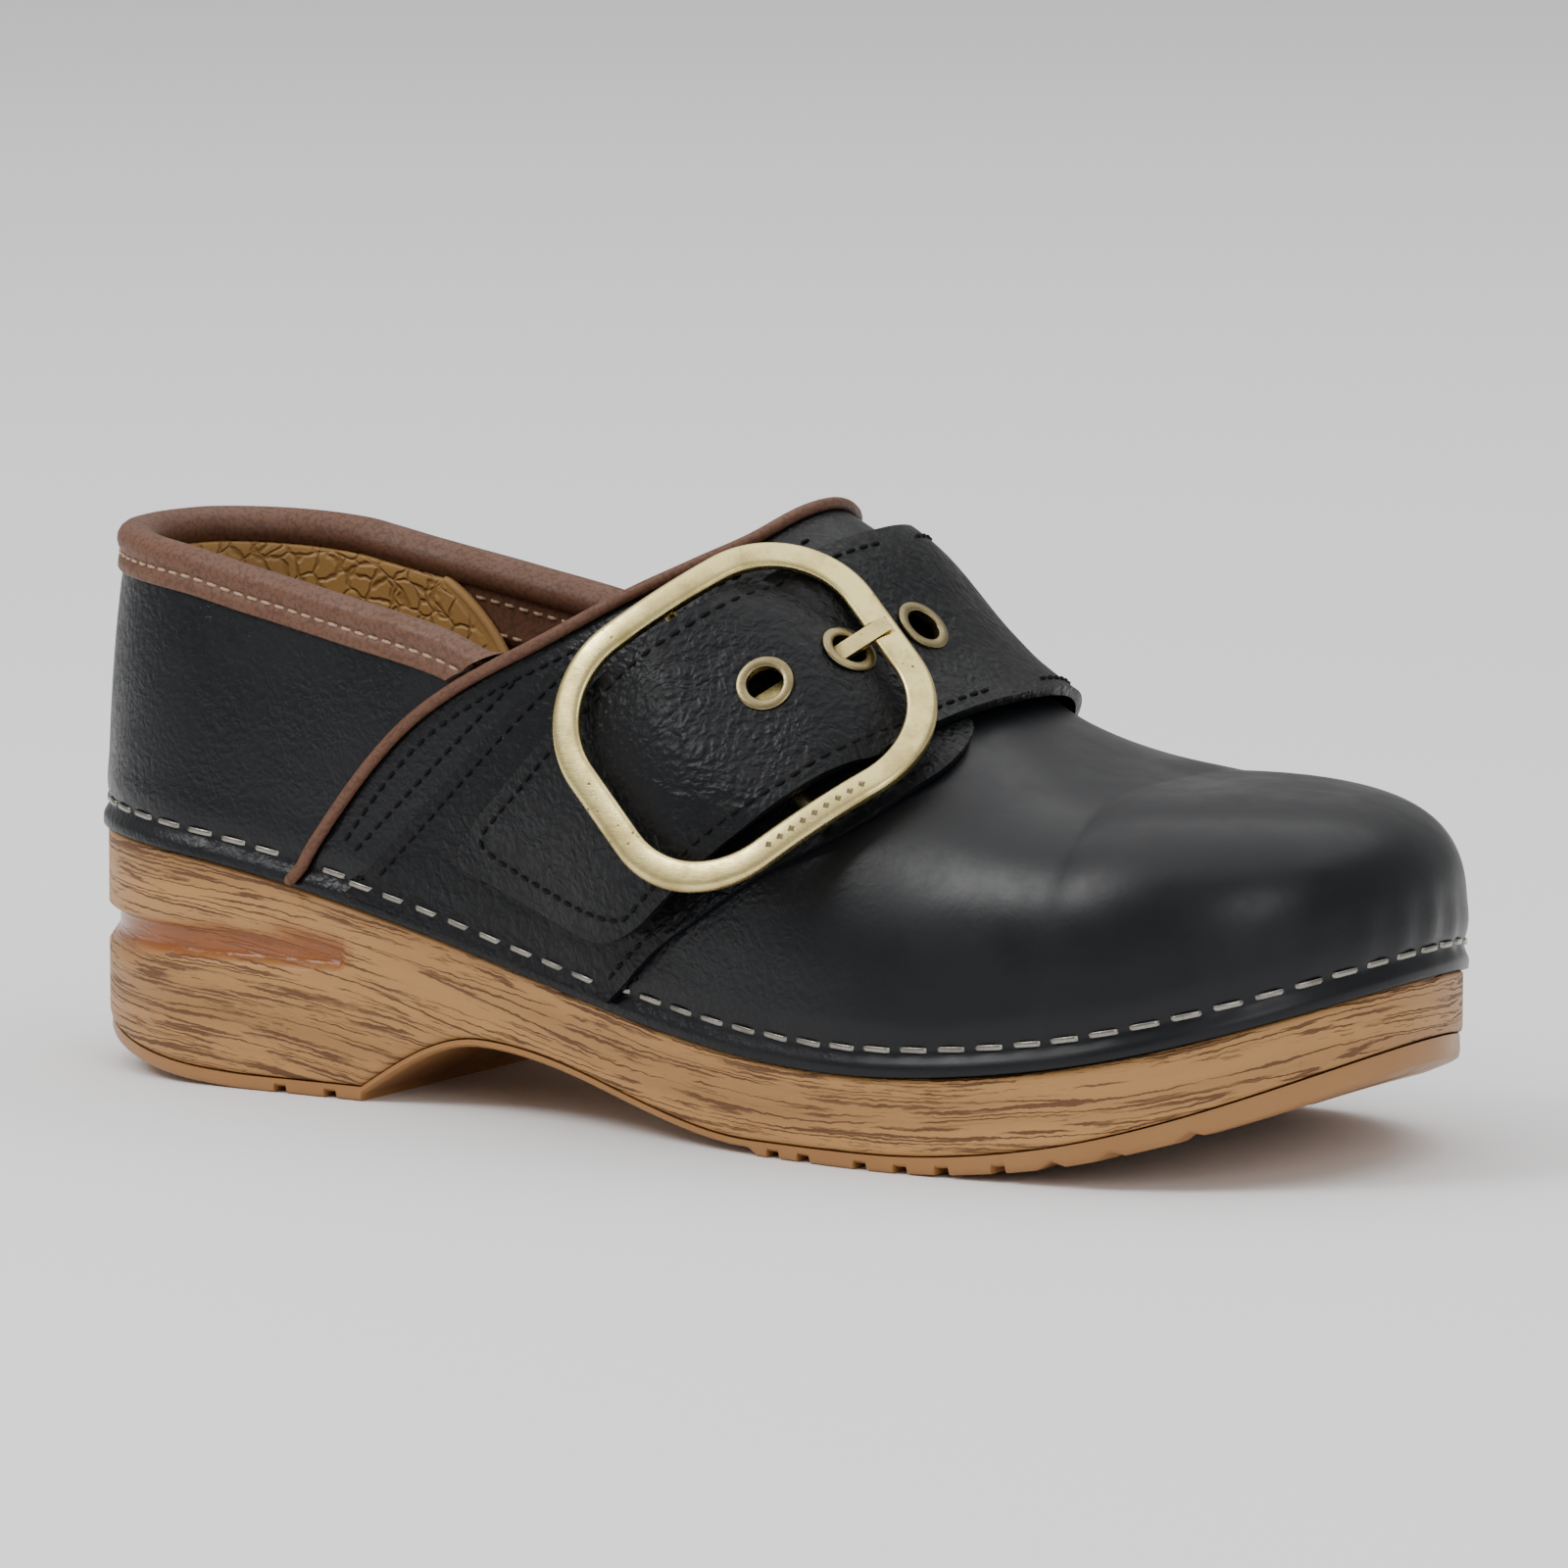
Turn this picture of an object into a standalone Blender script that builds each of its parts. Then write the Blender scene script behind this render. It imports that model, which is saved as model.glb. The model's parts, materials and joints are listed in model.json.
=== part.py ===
"""Closed-heel clog: a moulded wood-look sole, a stapled leather upper and a buckled instep strap.

The shoe is laid out in its own frame: X runs from the heel to the toe, Y to the medial side and Z up, with
the back of the sole at X = 0 and the tread on Z = 0. One empty then moves the whole shoe so that the origin
is under the middle of its box. Everything is in metres.

The outline of the sole is read as a stadium: a heel fan round one centre, a toe fan round another, and two
sides between them. A place on it is a fan angle or a distance along a side, and the upper rises from there
to the crest over the centre line, so every layer of the shoe is the same surface at another offset.
"""

import math
from typing import NamedTuple

import bmesh
import bpy
from mathutils import Matrix, Vector

MM = 0.001

# Plan
SOLE_LENGTH = 262 * MM
HEEL_RADIUS = 34.5 * MM
BALL_HALF_WIDTH = 49 * MM
TOE_REACH = 48 * MM
HEEL_CENTRE = HEEL_RADIUS + 1.5 * MM
TOE_CENTRE = SOLE_LENGTH - TOE_REACH
LATERAL_SWELL = ((0.137, 0), (0.23, -0.02), (0.32, 0), (0.42, 0.18), (0.515, 0.5), (0.61, 0.82), (0.706, 1),
                 (0.817, 0.89))
MEDIAL_SWELL = ((0.137, 0), (0.23, -0.02), (0.32, -0.08), (0.42, 0), (0.515, 0.25), (0.61, 0.66),
                (0.706, 0.96), (0.817, 1.03))

# Heights of the seat, which is the top edge of the sole
HEEL_SEAT = 43 * MM
BALL_SEAT = 16.2 * MM
TOE_SEAT = 33.2 * MM
SEAT_FALL_START = 0.02
BALL_STATION = 0.668

# Sole and tread
TREAD_THICKNESS = 2.7 * MM
TREAD_GAP = 0.4 * MM
HEEL_KICK = 8.5 * MM
TOE_SPRING = 18 * MM
TOE_TREAD_GAIN = 1.6 * MM
HEEL_FLAT_START = 0.19
HEEL_BREAST = 0.27
ARCH_PEAK = 0.366
ARCH_END = 0.6
TOE_SPRING_START = 0.7
ARCH_HEIGHT = 13.2 * MM
ARCH_LIP = 1.3 * MM
TREAD_INSET = 0.8 * MM
GROOVE_HEIGHT = 25.5 * MM
GROOVE_WIDTH = 5 * MM
GROOVE_DEPTH = 1.8 * MM
GROOVE_END = 0.262
GROOVE_FADE = 0.03
BOTTOM_CHAMFER = 1.2 * MM
TREAD_CHAMFER = 0.6 * MM
BREAST_STEP = 0.15 * MM
TREAD_CUT_WIDTH = 2.4 * MM
TREAD_CUT_DEPTH = 1.2 * MM
HEEL_TREAD_CUTS = (0.205, 0.245)
FORE_TREAD_CUTS = (0.62, 0.645, 0.69, 0.72, 0.75, 0.79, 0.83, 0.87, 0.91)

# Upper
INSTEP_TOP = 104.6 * MM
TOE_TOP = 62.8 * MM
CREST_SHAPE = ((0.137, 1.70), (0.23, 1.85), (0.305, 1.80), (0.37, 1.61), (0.458, 1.32), (0.553, 1.0),
               (0.595, 0.842), (0.637, 0.543), (0.664, 0.376), (0.706, 0.20), (0.763, 0.067), (0.817, 0))
SECTION_POWER = ((0.57, 2.0), (0.706, 2.4), (0.763, 2.8), (0.817, 3.2))
TOE_TIP_POWER = 4.2
HEEL_BACK_CREST = 165 * MM
WAIST_BULGE = 3 * MM
TOE_BULGE = 1 * MM
COLLAR_HEIGHT = 53.5 * MM
COLLAR_SHAPE = ((0.015, 1.0), (0.115, 0.962), (0.175, 0.907), (0.256, 0.832), (0.328, 0.763), (0.366, 0.70))
THROAT_LINE = ((0, 0.218), (0.154, 0.2565), (0.291, 0.297), (0.432, 0.351), (0.576, 0.413), (0.746, 0.477),
               (0.84, 0.511), (0.933, 0.54), (1.0, 0.553))

# Leather and lining layers, counted outwards from the outside of the upper
SHEET_GAP = 0.3 * MM
SEAM_GAP = 0.6 * MM
UPPER_THICKNESS = 1.5 * MM
INTERLAYER_GAP = 0.55 * MM
INTERLAYER_THICKNESS = 0.65 * MM
INTERLAYER_OUTSIDE = -UPPER_THICKNESS - INTERLAYER_GAP
VAMP_LINING_THICKNESS = 0.8 * MM
VAMP_LINING_OUTSIDE = INTERLAYER_OUTSIDE - INTERLAYER_THICKNESS - SHEET_GAP
LINING_BEHIND_THROAT = 3 * MM
CUP_GAP = 0.4 * MM
CUP_OUTSIDE = VAMP_LINING_OUTSIDE - VAMP_LINING_THICKNESS - CUP_GAP
CUP_THICKNESS = 1.3 * MM
CUP_BELOW_ROLL = 1.5 * MM
CUP_TOP_EDGE = 0.20
CUP_LOW_EDGE = 0.245

# Inner frame and insole
RIM_OUTSIDE = 0.7 * MM - CUP_OUTSIDE
RIM_THICKNESS = 2.2 * MM
RIM_HEIGHT = 8 * MM
SEAT_GAP = 0.45 * MM
FRAME_FLOOR = 2 * MM
FOOTBED_GAP = 0.4 * MM
FOOTBED_THICKNESS = 3.4 * MM
SOCK_THICKNESS = 1.1 * MM

# Collar and piping
COLLAR_DROP_OUTSIDE = 8 * MM
COLLAR_DROP_INSIDE = 6 * MM
COLLAR_OUTSIDE = 0.35 * MM
COLLAR_OVER_QUARTER = 3 * MM
COLLAR_BEHIND_PIPING = 1.6 * MM
LINING_BELOW_ROLL = 0.6 * MM
LINING_CLEARANCE = 2 * MM
PADDING_DROP = 2.3 * MM
COLLAR_INSIDE = CUP_OUTSIDE - SHEET_GAP
BINDING_THICKNESS = 0.9 * MM
PADDING_RADIUS = 1.05 * MM
PIPING_RADIUS = 1.05 * MM
STAY_WIDTH = 12 * MM
STAY_BEHIND_EDGE = 2 * MM
STAY_RISES = (0.06, 0.9)
PUFF_BEHIND_TOE = 8 * MM
PUFF_RISES = (0.03, 0.9)

# Strap and saddle
STRAP_WIDTH = 39 * MM
STRAP_THICKNESS = 1.8 * MM
STRAP_BEHIND_BUCKLE = 70.07 * MM
SEAT_CLEAR_RISE = 0.012
STRAP_SWEEP = 10 * MM
STRAP_TIP_RISE = 0.150
STRAP_TIP_ROUND = 0.085
SADDLE_LIFT = 0.55 * MM
STRAP_REST_LIFT = 2.3 * MM
STRAP_MEDIAL_LIFT = 0.45 * MM
STRAP_REAR_FLAT = (8 * MM, 4 * MM)
STRAP_REAR_DROP = (11.1 * MM, 13.5 * MM)
STRAP_REAR_POWER = (1.7, 1.5)
STRAP_FORE_FLAT = (6.5 * MM, 3 * MM)
STRAP_FORE_DROP = (16 * MM, 15.5 * MM)
STRAP_FORE_POWER = (3.0, 1.6)
SADDLE_THICKNESS = 1.2 * MM
SADDLE_REAR = ((0, -50.2 * MM), (0.5, -49.7 * MM), (0.75, -44.2 * MM), (0.85, -39.2 * MM),
               (0.94, -36.2 * MM))
SADDLE_FRONT = ((0, 21.2 * MM), (0.14, 21.8 * MM), (0.26, 25.2 * MM), (0.39, 28.8 * MM), (0.7, 36.8 * MM),
                (0.9, 37.8 * MM))
SADDLE_TOP_RISE = 0.972
SADDLE_CORNER = 0.12

# Buckle
BUCKLE_STATION = 0.585
STRAP_PLACE = BUCKLE_STATION * SOLE_LENGTH - STRAP_BEHIND_BUCKLE
BUCKLE_RISE = 0.665
BUCKLE_LIFT = 6.6 * MM
BUCKLE_PITCH = math.radians(14)
BUCKLE_ROLL = math.radians(5.6)
BUCKLE_HALF_LENGTH = 30.5 * MM
BUCKLE_HALF_WIDTH = 27.5 * MM
BUCKLE_CORNER = 19.7 * MM
BUCKLE_BEND = 84 * MM
FRAME_BAND = 5 * MM
FRAME_THICKNESS = 2.6 * MM
FRAME_ROUNDING = 0.5 * MM
BAR_INSET = 1.5 * MM
BAR_RADIUS = 1.2 * MM
BAR_DEPTH = 3.1 * MM
PRONG_WIDTH = 3.0 * MM
PRONG_THICKNESS = 1.1 * MM
PRONG_HOOK_GAP = 0.3 * MM
PRONG_HOOK_WALL = 0.9 * MM
PRONG_TIP_INSET = 1.3 * MM
PRONG_TIP_DROP = 0.2 * MM
NOTCH_GAP = 0.3 * MM
KEEPER_THICKNESS = 0.7 * MM
KEEPER_GAP = 0.3 * MM
KEEPER_LIFT = SADDLE_LIFT + SADDLE_THICKNESS + SHEET_GAP
KEEPER_TO_STRAP = 0.8 * MM
STRAP_OVER_BAR = BAR_RADIUS + KEEPER_GAP + KEEPER_THICKNESS + KEEPER_TO_STRAP
KEEPER_NEAR = 2.6 * MM
KEEPER_FAR = 15 * MM
KEEPER_REACH = 6 * MM
KEEPER_BEND = 0.6

# Eyelets and staples
EYELET_RADIUS = 5.0 * MM
EYELET_HOLE_RADIUS = 3.0 * MM
EYELET_HEIGHT = 0.65 * MM
EYELET_WALL = 0.35 * MM
EYELET_BARREL = 1.1 * MM
EYELET_GAP = 0.3 * MM
EYELET_PLACES = (5.8 * MM, None, 35 * MM)
EYELET_SLACK = 0.75
RELIEF_HEIGHT = 1.2 * MM
STAPLE_COUNT = 28
STAPLE_LENGTH = 5.2 * MM
STAPLE_HEIGHT = 1.0 * MM
STAPLE_THICKNESS = 0.7 * MM
STAPLE_RISE = 4.5 * MM
STAPLE_GAP = 0.35 * MM
STAPLE_MARGIN = 5 * MM
STAPLE_LINE_RISE = 0.04

# Facets
FAN_STEPS = 12
SIDE_STEPS = 11
RISE_STEPS = 8


class Place(NamedTuple):
    """One place on the outline: a distance along a side, or an angle in the heel fan or the toe fan."""

    zone: str
    value: float
    side: int


def smoothstep(share):
    """Ease from 0 to 1."""
    share = min(1.0, max(0.0, share))
    return share * share * (3 - 2 * share)


def curve_through(points):
    """Return a function that runs smoothly through the points and never overshoots them."""
    xs = [point[0] for point in points]
    ys = [point[1] for point in points]
    rises = [(ys[i + 1] - ys[i]) / (xs[i + 1] - xs[i]) for i in range(len(xs) - 1)]
    slopes = [rises[0]]
    for before, after in zip(rises, rises[1:]):
        slopes.append(0 if before * after <= 0 else 2 * before * after / (before + after))
    slopes.append(rises[-1])

    def value(x):
        if x <= xs[0]:
            return ys[0]
        if x >= xs[-1]:
            return ys[-1]
        i = max(k for k in range(len(xs) - 1) if xs[k] <= x)
        span = xs[i + 1] - xs[i]
        t = (x - xs[i]) / span
        return ((1 + 2 * t) * (1 - t) ** 2 * ys[i] + t * (1 - t) ** 2 * span * slopes[i]
                + t * t * (3 - 2 * t) * ys[i + 1] + t * t * (t - 1) * span * slopes[i + 1])

    return value


LATERAL_CURVE = curve_through(LATERAL_SWELL)
MEDIAL_CURVE = curve_through(MEDIAL_SWELL)
CREST_CURVE = curve_through(CREST_SHAPE)
POWER_CURVE = curve_through(SECTION_POWER)
COLLAR_CURVE = curve_through(COLLAR_SHAPE)
THROAT_CURVE = curve_through(THROAT_LINE)
SADDLE_REAR_CURVE = curve_through(SADDLE_REAR)
SADDLE_FRONT_CURVE = curve_through(SADDLE_FRONT)


# ---------------------------------------------------------------- the shoe's form


def side_reach(x, side):
    """Half-width of the sole's outline at x on one side."""
    swell = (LATERAL_CURVE if side < 0 else MEDIAL_CURVE)(x / SOLE_LENGTH)
    return HEEL_RADIUS + (BALL_HALF_WIDTH - HEEL_RADIUS) * swell


def toe_reach(angle):
    """Radius of the toe fan, from one side's half-width round to the tip."""
    tip = math.cos(angle) ** 2
    return side_reach(TOE_CENTRE, -1 if angle < 0 else 1) * (1 - tip) + TOE_REACH * tip


def seat_height(x):
    """Height of the sole's top edge at x."""
    start = SEAT_FALL_START * SOLE_LENGTH
    ball = BALL_STATION * SOLE_LENGTH
    height = HEEL_SEAT - (HEEL_SEAT - BALL_SEAT) * smoothstep((x - start) / (ball - start))
    if x > ball:
        height += (TOE_SEAT - BALL_SEAT) * ((x - ball) / (SOLE_LENGTH - ball)) ** 2
    return height


def tread_rise(x):
    """Height of the walking surface above the ground, without the arch."""
    heel_flat = HEEL_FLAT_START * SOLE_LENGTH
    spring = TOE_SPRING_START * SOLE_LENGTH
    if x < heel_flat:
        return HEEL_KICK * ((heel_flat - x) / heel_flat) ** 2
    if x > spring:
        return TOE_SPRING * ((x - spring) / (SOLE_LENGTH - spring)) ** 2
    return 0.0


def sole_bottom(x):
    """Height of the underside of the sole body at x."""
    breast = HEEL_BREAST * SOLE_LENGTH
    peak = ARCH_PEAK * SOLE_LENGTH
    end = ARCH_END * SOLE_LENGTH
    height = tread_rise(x) + TREAD_THICKNESS
    height += TOE_TREAD_GAIN * smoothstep((x - end) / (SOLE_LENGTH - end))
    if breast < x <= peak:
        height += (ARCH_HEIGHT - TREAD_THICKNESS) * math.sin(math.pi / 2 * (x - breast) / (peak - breast))
    elif peak < x < end:
        height += (ARCH_HEIGHT - TREAD_THICKNESS) * (1 - smoothstep((x - peak) / (end - peak)))
    return height


def tread_bottom(x):
    """Height of the underside of the outsole at x: on the ground, or a thin lip under the arch."""
    breast = HEEL_BREAST * SOLE_LENGTH
    end = ARCH_END * SOLE_LENGTH
    if breast < x < end:
        lip = sole_bottom(x) - TREAD_GAP - ARCH_LIP
        return max(tread_rise(x), lip)
    return tread_rise(x)


def crest_height(x):
    """Height of the upper's crest over the centre line, which behind the throat is only a guide."""
    return TOE_TOP + (INSTEP_TOP - TOE_TOP) * CREST_CURVE(x / SOLE_LENGTH)


def collar_top(x):
    """Height of the top of the collar at x."""
    return HEEL_SEAT + COLLAR_HEIGHT * COLLAR_CURVE(x / SOLE_LENGTH)


def throat_x(rise):
    """Where the vamp's rear edge is at a share of the height from seat to crest."""
    return SOLE_LENGTH * THROAT_CURVE(rise)


def form_at(place):
    """Return the centre, direction, reach, crest height and section power of a place."""
    if place.zone == "side":
        centre = Vector((place.value, 0, 0))
        return (centre, Vector((0, place.side, 0)), side_reach(place.value, place.side),
                crest_height(place.value), POWER_CURVE(place.value / SOLE_LENGTH))
    if place.zone == "toe":
        direction = Vector((math.cos(place.value), math.sin(place.value), 0))
        power = SECTION_POWER[-1][1] + (TOE_TIP_POWER - SECTION_POWER[-1][1]) * direction.x
        return Vector((TOE_CENTRE, 0, 0)), direction, toe_reach(place.value), TOE_TOP, power
    direction = Vector((-math.cos(place.value), math.sin(place.value), 0))
    low = crest_height(HEEL_CENTRE)
    crest = low + (HEEL_BACK_CREST - low) * direction.x ** 2
    return Vector((HEEL_CENTRE, 0, 0)), direction, HEEL_RADIUS, crest, SECTION_POWER[0][1]


def outline(place, reach_change=0.0, share=1.0):
    """Point of the outline in plan, drawn in by a share of the reach and by an offset."""
    centre, direction, reach, _, _ = form_at(place)
    return centre + direction * (reach + reach_change) * share


def seat_of(place):
    """Height of the seat at a place."""
    return seat_height(outline(place).x)


def bulge_of(place, rise):
    """How far the upper swells past the plain section."""
    swell = 4 * rise * (1 - rise)
    if place.zone == "side":
        along = min(1.0, max(0.0, (place.value / SOLE_LENGTH - 0.2) / 0.56))
        return WAIST_BULGE * swell * math.sin(math.pi * along)
    if place.zone == "toe":
        return TOE_BULGE * swell * max(0.0, math.cos(place.value))
    return 0.0


def form_point(place, rise):
    """Point on the outside of the upper at a share of the height from seat to crest."""
    centre, direction, reach, crest, power = form_at(place)
    seat = seat_of(place)
    rise = min(1.0, max(0.0, rise))
    out = reach * (1 - rise ** power) ** (1 / power) + bulge_of(place, rise)
    point = centre + direction * out
    point.z = seat + (crest - seat) * rise
    return point


def crest_normal(x):
    """Normal of the crest line at x."""
    step = 1 * MM
    fall = (crest_height(x + step) - crest_height(x - step)) / (2 * step)
    return Vector((-fall, 0, 1)).normalized()


def form_normal(place, rise):
    """Outward normal of the upper."""
    if rise > 0.998:
        return crest_normal(TOE_CENTRE if place.zone == "toe" else place.value)
    step = 0.5 * MM if place.zone == "side" else 0.01
    ahead = form_point(place._replace(value=place.value + step), rise)
    behind = form_point(place._replace(value=place.value - step), rise)
    low, high = max(0.0, rise - 0.01), min(0.998, rise + 0.01)
    normal = (ahead - behind).cross(form_point(place, high) - form_point(place, low)).normalized()
    direction = form_at(place)[1]
    outward = Vector((direction.x, direction.y, 0.6 * rise + 0.05))
    return normal if normal.dot(outward) > 0 else -normal


def upper_point(place, rise, offset):
    """Point at an offset outside the upper."""
    return form_point(place, rise) + form_normal(place, rise) * offset


def rise_at_height(place, height):
    """Share of the height from seat to crest that lies at a height."""
    crest = form_at(place)[3]
    seat = seat_of(place)
    return (height - seat) / (crest - seat)


def solve_rising(function, low, high):
    """Find where a rising function crosses zero."""
    for _ in range(40):
        middle = (low + high) / 2
        if function(middle) < 0:
            low = middle
        else:
            high = middle
    return (low + high) / 2


def band_place(cross, rise, side):
    """Place where x - z equals cross at a rise: such planes stand square to the instep."""
    def miss(x):
        return x - form_point(Place("side", x, side), rise).z - cross
    return Place("side", solve_rising(miss, HEEL_CENTRE, TOE_CENTRE), side)


# ---------------------------------------------------------------- meshes and modifiers


def clear_scene():
    """Empty the scene, so that the script can run again."""
    for item in list(bpy.data.objects):
        bpy.data.objects.remove(item, do_unlink=True)
    for old in list(bpy.data.collections):
        bpy.data.collections.remove(old)


def new_collection(name):
    """Make a collection in the scene."""
    made = bpy.data.collections.new(name)
    bpy.context.scene.collection.children.link(made)
    return made


def principled(name, colour, roughness, metallic=0.0):
    """A plain material for one piece."""
    material = bpy.data.materials.new(name)
    material.use_nodes = True
    shader = material.node_tree.nodes["Principled BSDF"]
    shader.inputs["Base Color"].default_value = (*colour, 1)
    shader.inputs["Roughness"].default_value = roughness
    shader.inputs["Metallic"].default_value = metallic
    return material


LEATHER_BLACK = ((0.018, 0.02, 0.024), 0.45)
LEATHER_BROWN = ((0.23, 0.13, 0.09), 0.55)
WOOD_TAN = ((0.55, 0.34, 0.16), 0.5)
RUBBER_TAN = ((0.50, 0.31, 0.15), 0.55)
CUP_TAN = ((0.55, 0.36, 0.16), 0.5)
TEXTILE_BROWN = ((0.16, 0.10, 0.07), 0.85)
FRAME_GREY = ((0.25, 0.25, 0.25), 0.6)
FOAM_CREAM = ((0.7, 0.66, 0.55), 0.9)
BRASS = ((0.62, 0.52, 0.30), 0.32, 1.0)
BRASS_DULL = ((0.42, 0.36, 0.24), 0.42, 1.0)
STEEL = ((0.6, 0.6, 0.58), 0.35, 1.0)


class Builder:
    """Puts pieces in the shoe's collection, each with its own material, under one parent."""

    def __init__(self):
        self.parts = new_collection("clog")
        self.cutters = new_collection("cutters")
        self.origin = self.empty("clog_origin", Matrix.Identity(4), None)

    def empty(self, name, matrix, parent):
        """Add an empty that others are parented to."""
        made = bpy.data.objects.new(name, None)
        self.parts.objects.link(made)
        made.parent = parent
        made.matrix_local = matrix
        return made

    def piece(self, name, data, finish, parent=None, matrix=None):
        """Add a named piece with its own material."""
        made = bpy.data.objects.new(name, data)
        self.parts.objects.link(made)
        made.parent = parent or self.origin
        made.matrix_local = matrix or Matrix.Identity(4)
        if not data.materials:
            data.materials.append(principled(name + "_finish", *finish))
        return made

    def cutter(self, name, data, parent=None, matrix=None):
        """Add a hidden piece that only cuts or guides."""
        made = bpy.data.objects.new(name, data)
        self.cutters.objects.link(made)
        made.parent = parent or self.origin
        made.matrix_local = matrix or Matrix.Identity(4)
        made.hide_render = True
        made.display_type = "WIRE"
        return made


def grid_mesh(name, rows, closed=False):
    """Loft a surface through rows of points, which all have the same count."""
    mesh = bpy.data.meshes.new(name)
    shape = bmesh.new()
    placed = [[shape.verts.new(point) for point in row] for row in rows]
    count = len(rows[0])
    for lower, upper in zip(placed, placed[1:]):
        for i in range(count if closed else count - 1):
            after = (i + 1) % count
            shape.faces.new((lower[i], lower[after], upper[after], upper[i]))
    bmesh.ops.remove_doubles(shape, verts=shape.verts, dist=0.00001)
    shape.to_mesh(mesh)
    shape.free()
    return mesh


def face_out(mesh, outward):
    """Turn a surface over if most of it faces against the outward direction at its points."""
    votes = sum(polygon.area * (1 if polygon.normal.dot(outward(polygon.center)) > 0 else -1)
                for polygon in mesh.polygons)
    if votes < 0:
        mesh.flip_normals()


def away_from_spine(point):
    """Direction from the line inside the shoe to a point."""
    x = min(TOE_CENTRE, max(HEEL_CENTRE, point.x))
    middle = (seat_height(x) + min(crest_height(x), collar_top(x))) / 2
    return point - Vector((x, 0, middle))


def smooth(mesh, degrees=40):
    """Shade smooth, with sharp edges where the surface folds."""
    mesh.shade_smooth()
    mesh.set_sharp_from_angle(angle=math.radians(degrees))


def solid_from_rings(name, rings):
    """Close a loft of rings, of which the first and the last lie on the spine."""
    mesh = grid_mesh(name, rings, closed=True)
    shape = bmesh.new()
    shape.from_mesh(mesh)
    bmesh.ops.recalc_face_normals(shape, faces=shape.faces)
    shape.to_mesh(mesh)
    shape.free()
    smooth(mesh)
    return mesh


def sheet(builder, name, rows, thickness, grow_out, finish):
    """A leather or lining piece: an open surface that Solidify gives its thickness."""
    mesh = grid_mesh(name, rows)
    face_out(mesh, away_from_spine)
    smooth(mesh)
    made = builder.piece(name, mesh, finish)
    wall = made.modifiers.new("wall", "SOLIDIFY")
    wall.thickness = thickness
    wall.offset = 1 if grow_out else -1
    wall.use_even_offset = True
    return made


def tube(name, points, radius, cyclic=False, sides=2):
    """A round tube along a run of points."""
    curve = bpy.data.curves.new(name, "CURVE")
    curve.dimensions = "3D"
    curve.bevel_depth = radius
    curve.bevel_resolution = sides
    curve.use_fill_caps = True
    spline = curve.splines.new("POLY")
    spline.points.add(len(points) - 1)
    for slot, point in zip(spline.points, points):
        slot.co = (*point, 1)
    spline.use_cyclic_u = cyclic
    return curve


def box_mesh(name, size, centre=(0, 0, 0), bevel=0.0):
    """A box, with its edges rounded if a bevel is given."""
    mesh = bpy.data.meshes.new(name)
    shape = bmesh.new()
    bmesh.ops.create_cube(shape, size=1)
    bmesh.ops.scale(shape, vec=size, verts=shape.verts)
    if bevel:
        bmesh.ops.bevel(shape, geom=shape.edges[:], offset=bevel, segments=1, affect="EDGES")
    bmesh.ops.translate(shape, vec=centre, verts=shape.verts)
    shape.to_mesh(mesh)
    shape.free()
    return mesh


def cylinder_mesh(name, radius, depth, segments=20):
    """A cylinder along Z, centred on its origin."""
    mesh = bpy.data.meshes.new(name)
    shape = bmesh.new()
    bmesh.ops.create_cone(shape, cap_ends=True, segments=segments, radius1=radius, radius2=radius,
                          depth=depth)
    shape.to_mesh(mesh)
    shape.free()
    smooth(mesh)
    return mesh


def cut(target, cutter):
    """Cut one piece with another."""
    slot = target.modifiers.new(cutter.name, "BOOLEAN")
    slot.operation = "DIFFERENCE"
    slot.object = cutter
    slot.solver = "EXACT"


# ---------------------------------------------------------------- sole


def side_stations():
    """Distances along a side, closer together where the sole turns."""
    breast = HEEL_BREAST * SOLE_LENGTH
    peak = ARCH_PEAK * SOLE_LENGTH
    end = ARCH_END * SOLE_LENGTH
    spring = TOE_SPRING_START * SOLE_LENGTH
    heel_flat = HEEL_FLAT_START * SOLE_LENGTH
    stations = [HEEL_CENTRE, (HEEL_CENTRE + heel_flat) / 2, heel_flat, (heel_flat + breast) / 2]
    stations += [breast - BREAST_STEP, breast + BREAST_STEP]
    stations += [breast + (peak - breast) * share for share in (0.2, 0.42, 0.7, 1.0)]
    stations += [peak + (end - peak) * share for share in (0.18, 0.36, 0.54, 0.72, 0.88, 1.0)]
    stations += [(end + spring) / 2, spring, (spring + TOE_CENTRE) / 2, TOE_CENTRE]
    return stations


def fan_angles(steps, inner=True):
    """Angles of a fan from -90 to 90 degrees, without the two ends where a side already has them."""
    angles = [math.pi * (i / steps - 0.5) for i in range(steps + 1)]
    return angles[1:-1] if inner else angles


def outline_places(stations):
    """Places all round the outline: lateral side, toe, medial side, heel."""
    places = [Place("side", x, -1) for x in stations]
    places += [Place("toe", angle, 0) for angle in fan_angles(FAN_STEPS)]
    places += [Place("side", x, 1) for x in reversed(stations)]
    places += [Place("heel", angle, 0) for angle in reversed(fan_angles(FAN_STEPS))]
    return places


def ring(places, height, reach_change=0.0, share=1.0):
    """One ring round the shoe, at a height that follows x."""
    points = []
    for place in places:
        point = outline(place, reach_change, share)
        point.z = height(point.x)
        points.append(point)
    return points


def groove_ring(places, height, depth):
    """A ring of the sole's wall at a fixed height, pressed in round the heel."""
    points = []
    for place in places:
        outer = outline(place)
        fade = 1 - smoothstep((outer.x / SOLE_LENGTH - GROOVE_END + GROOVE_FADE) / GROOVE_FADE)
        point = outline(place, -depth * fade)
        low = sole_bottom(point.x)
        high = seat_height(point.x) - SEAT_GAP
        share = (height - TREAD_THICKNESS) / (HEEL_SEAT - TREAD_THICKNESS)
        point.z = low + (high - low) * share
        points.append(point)
    return points


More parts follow.
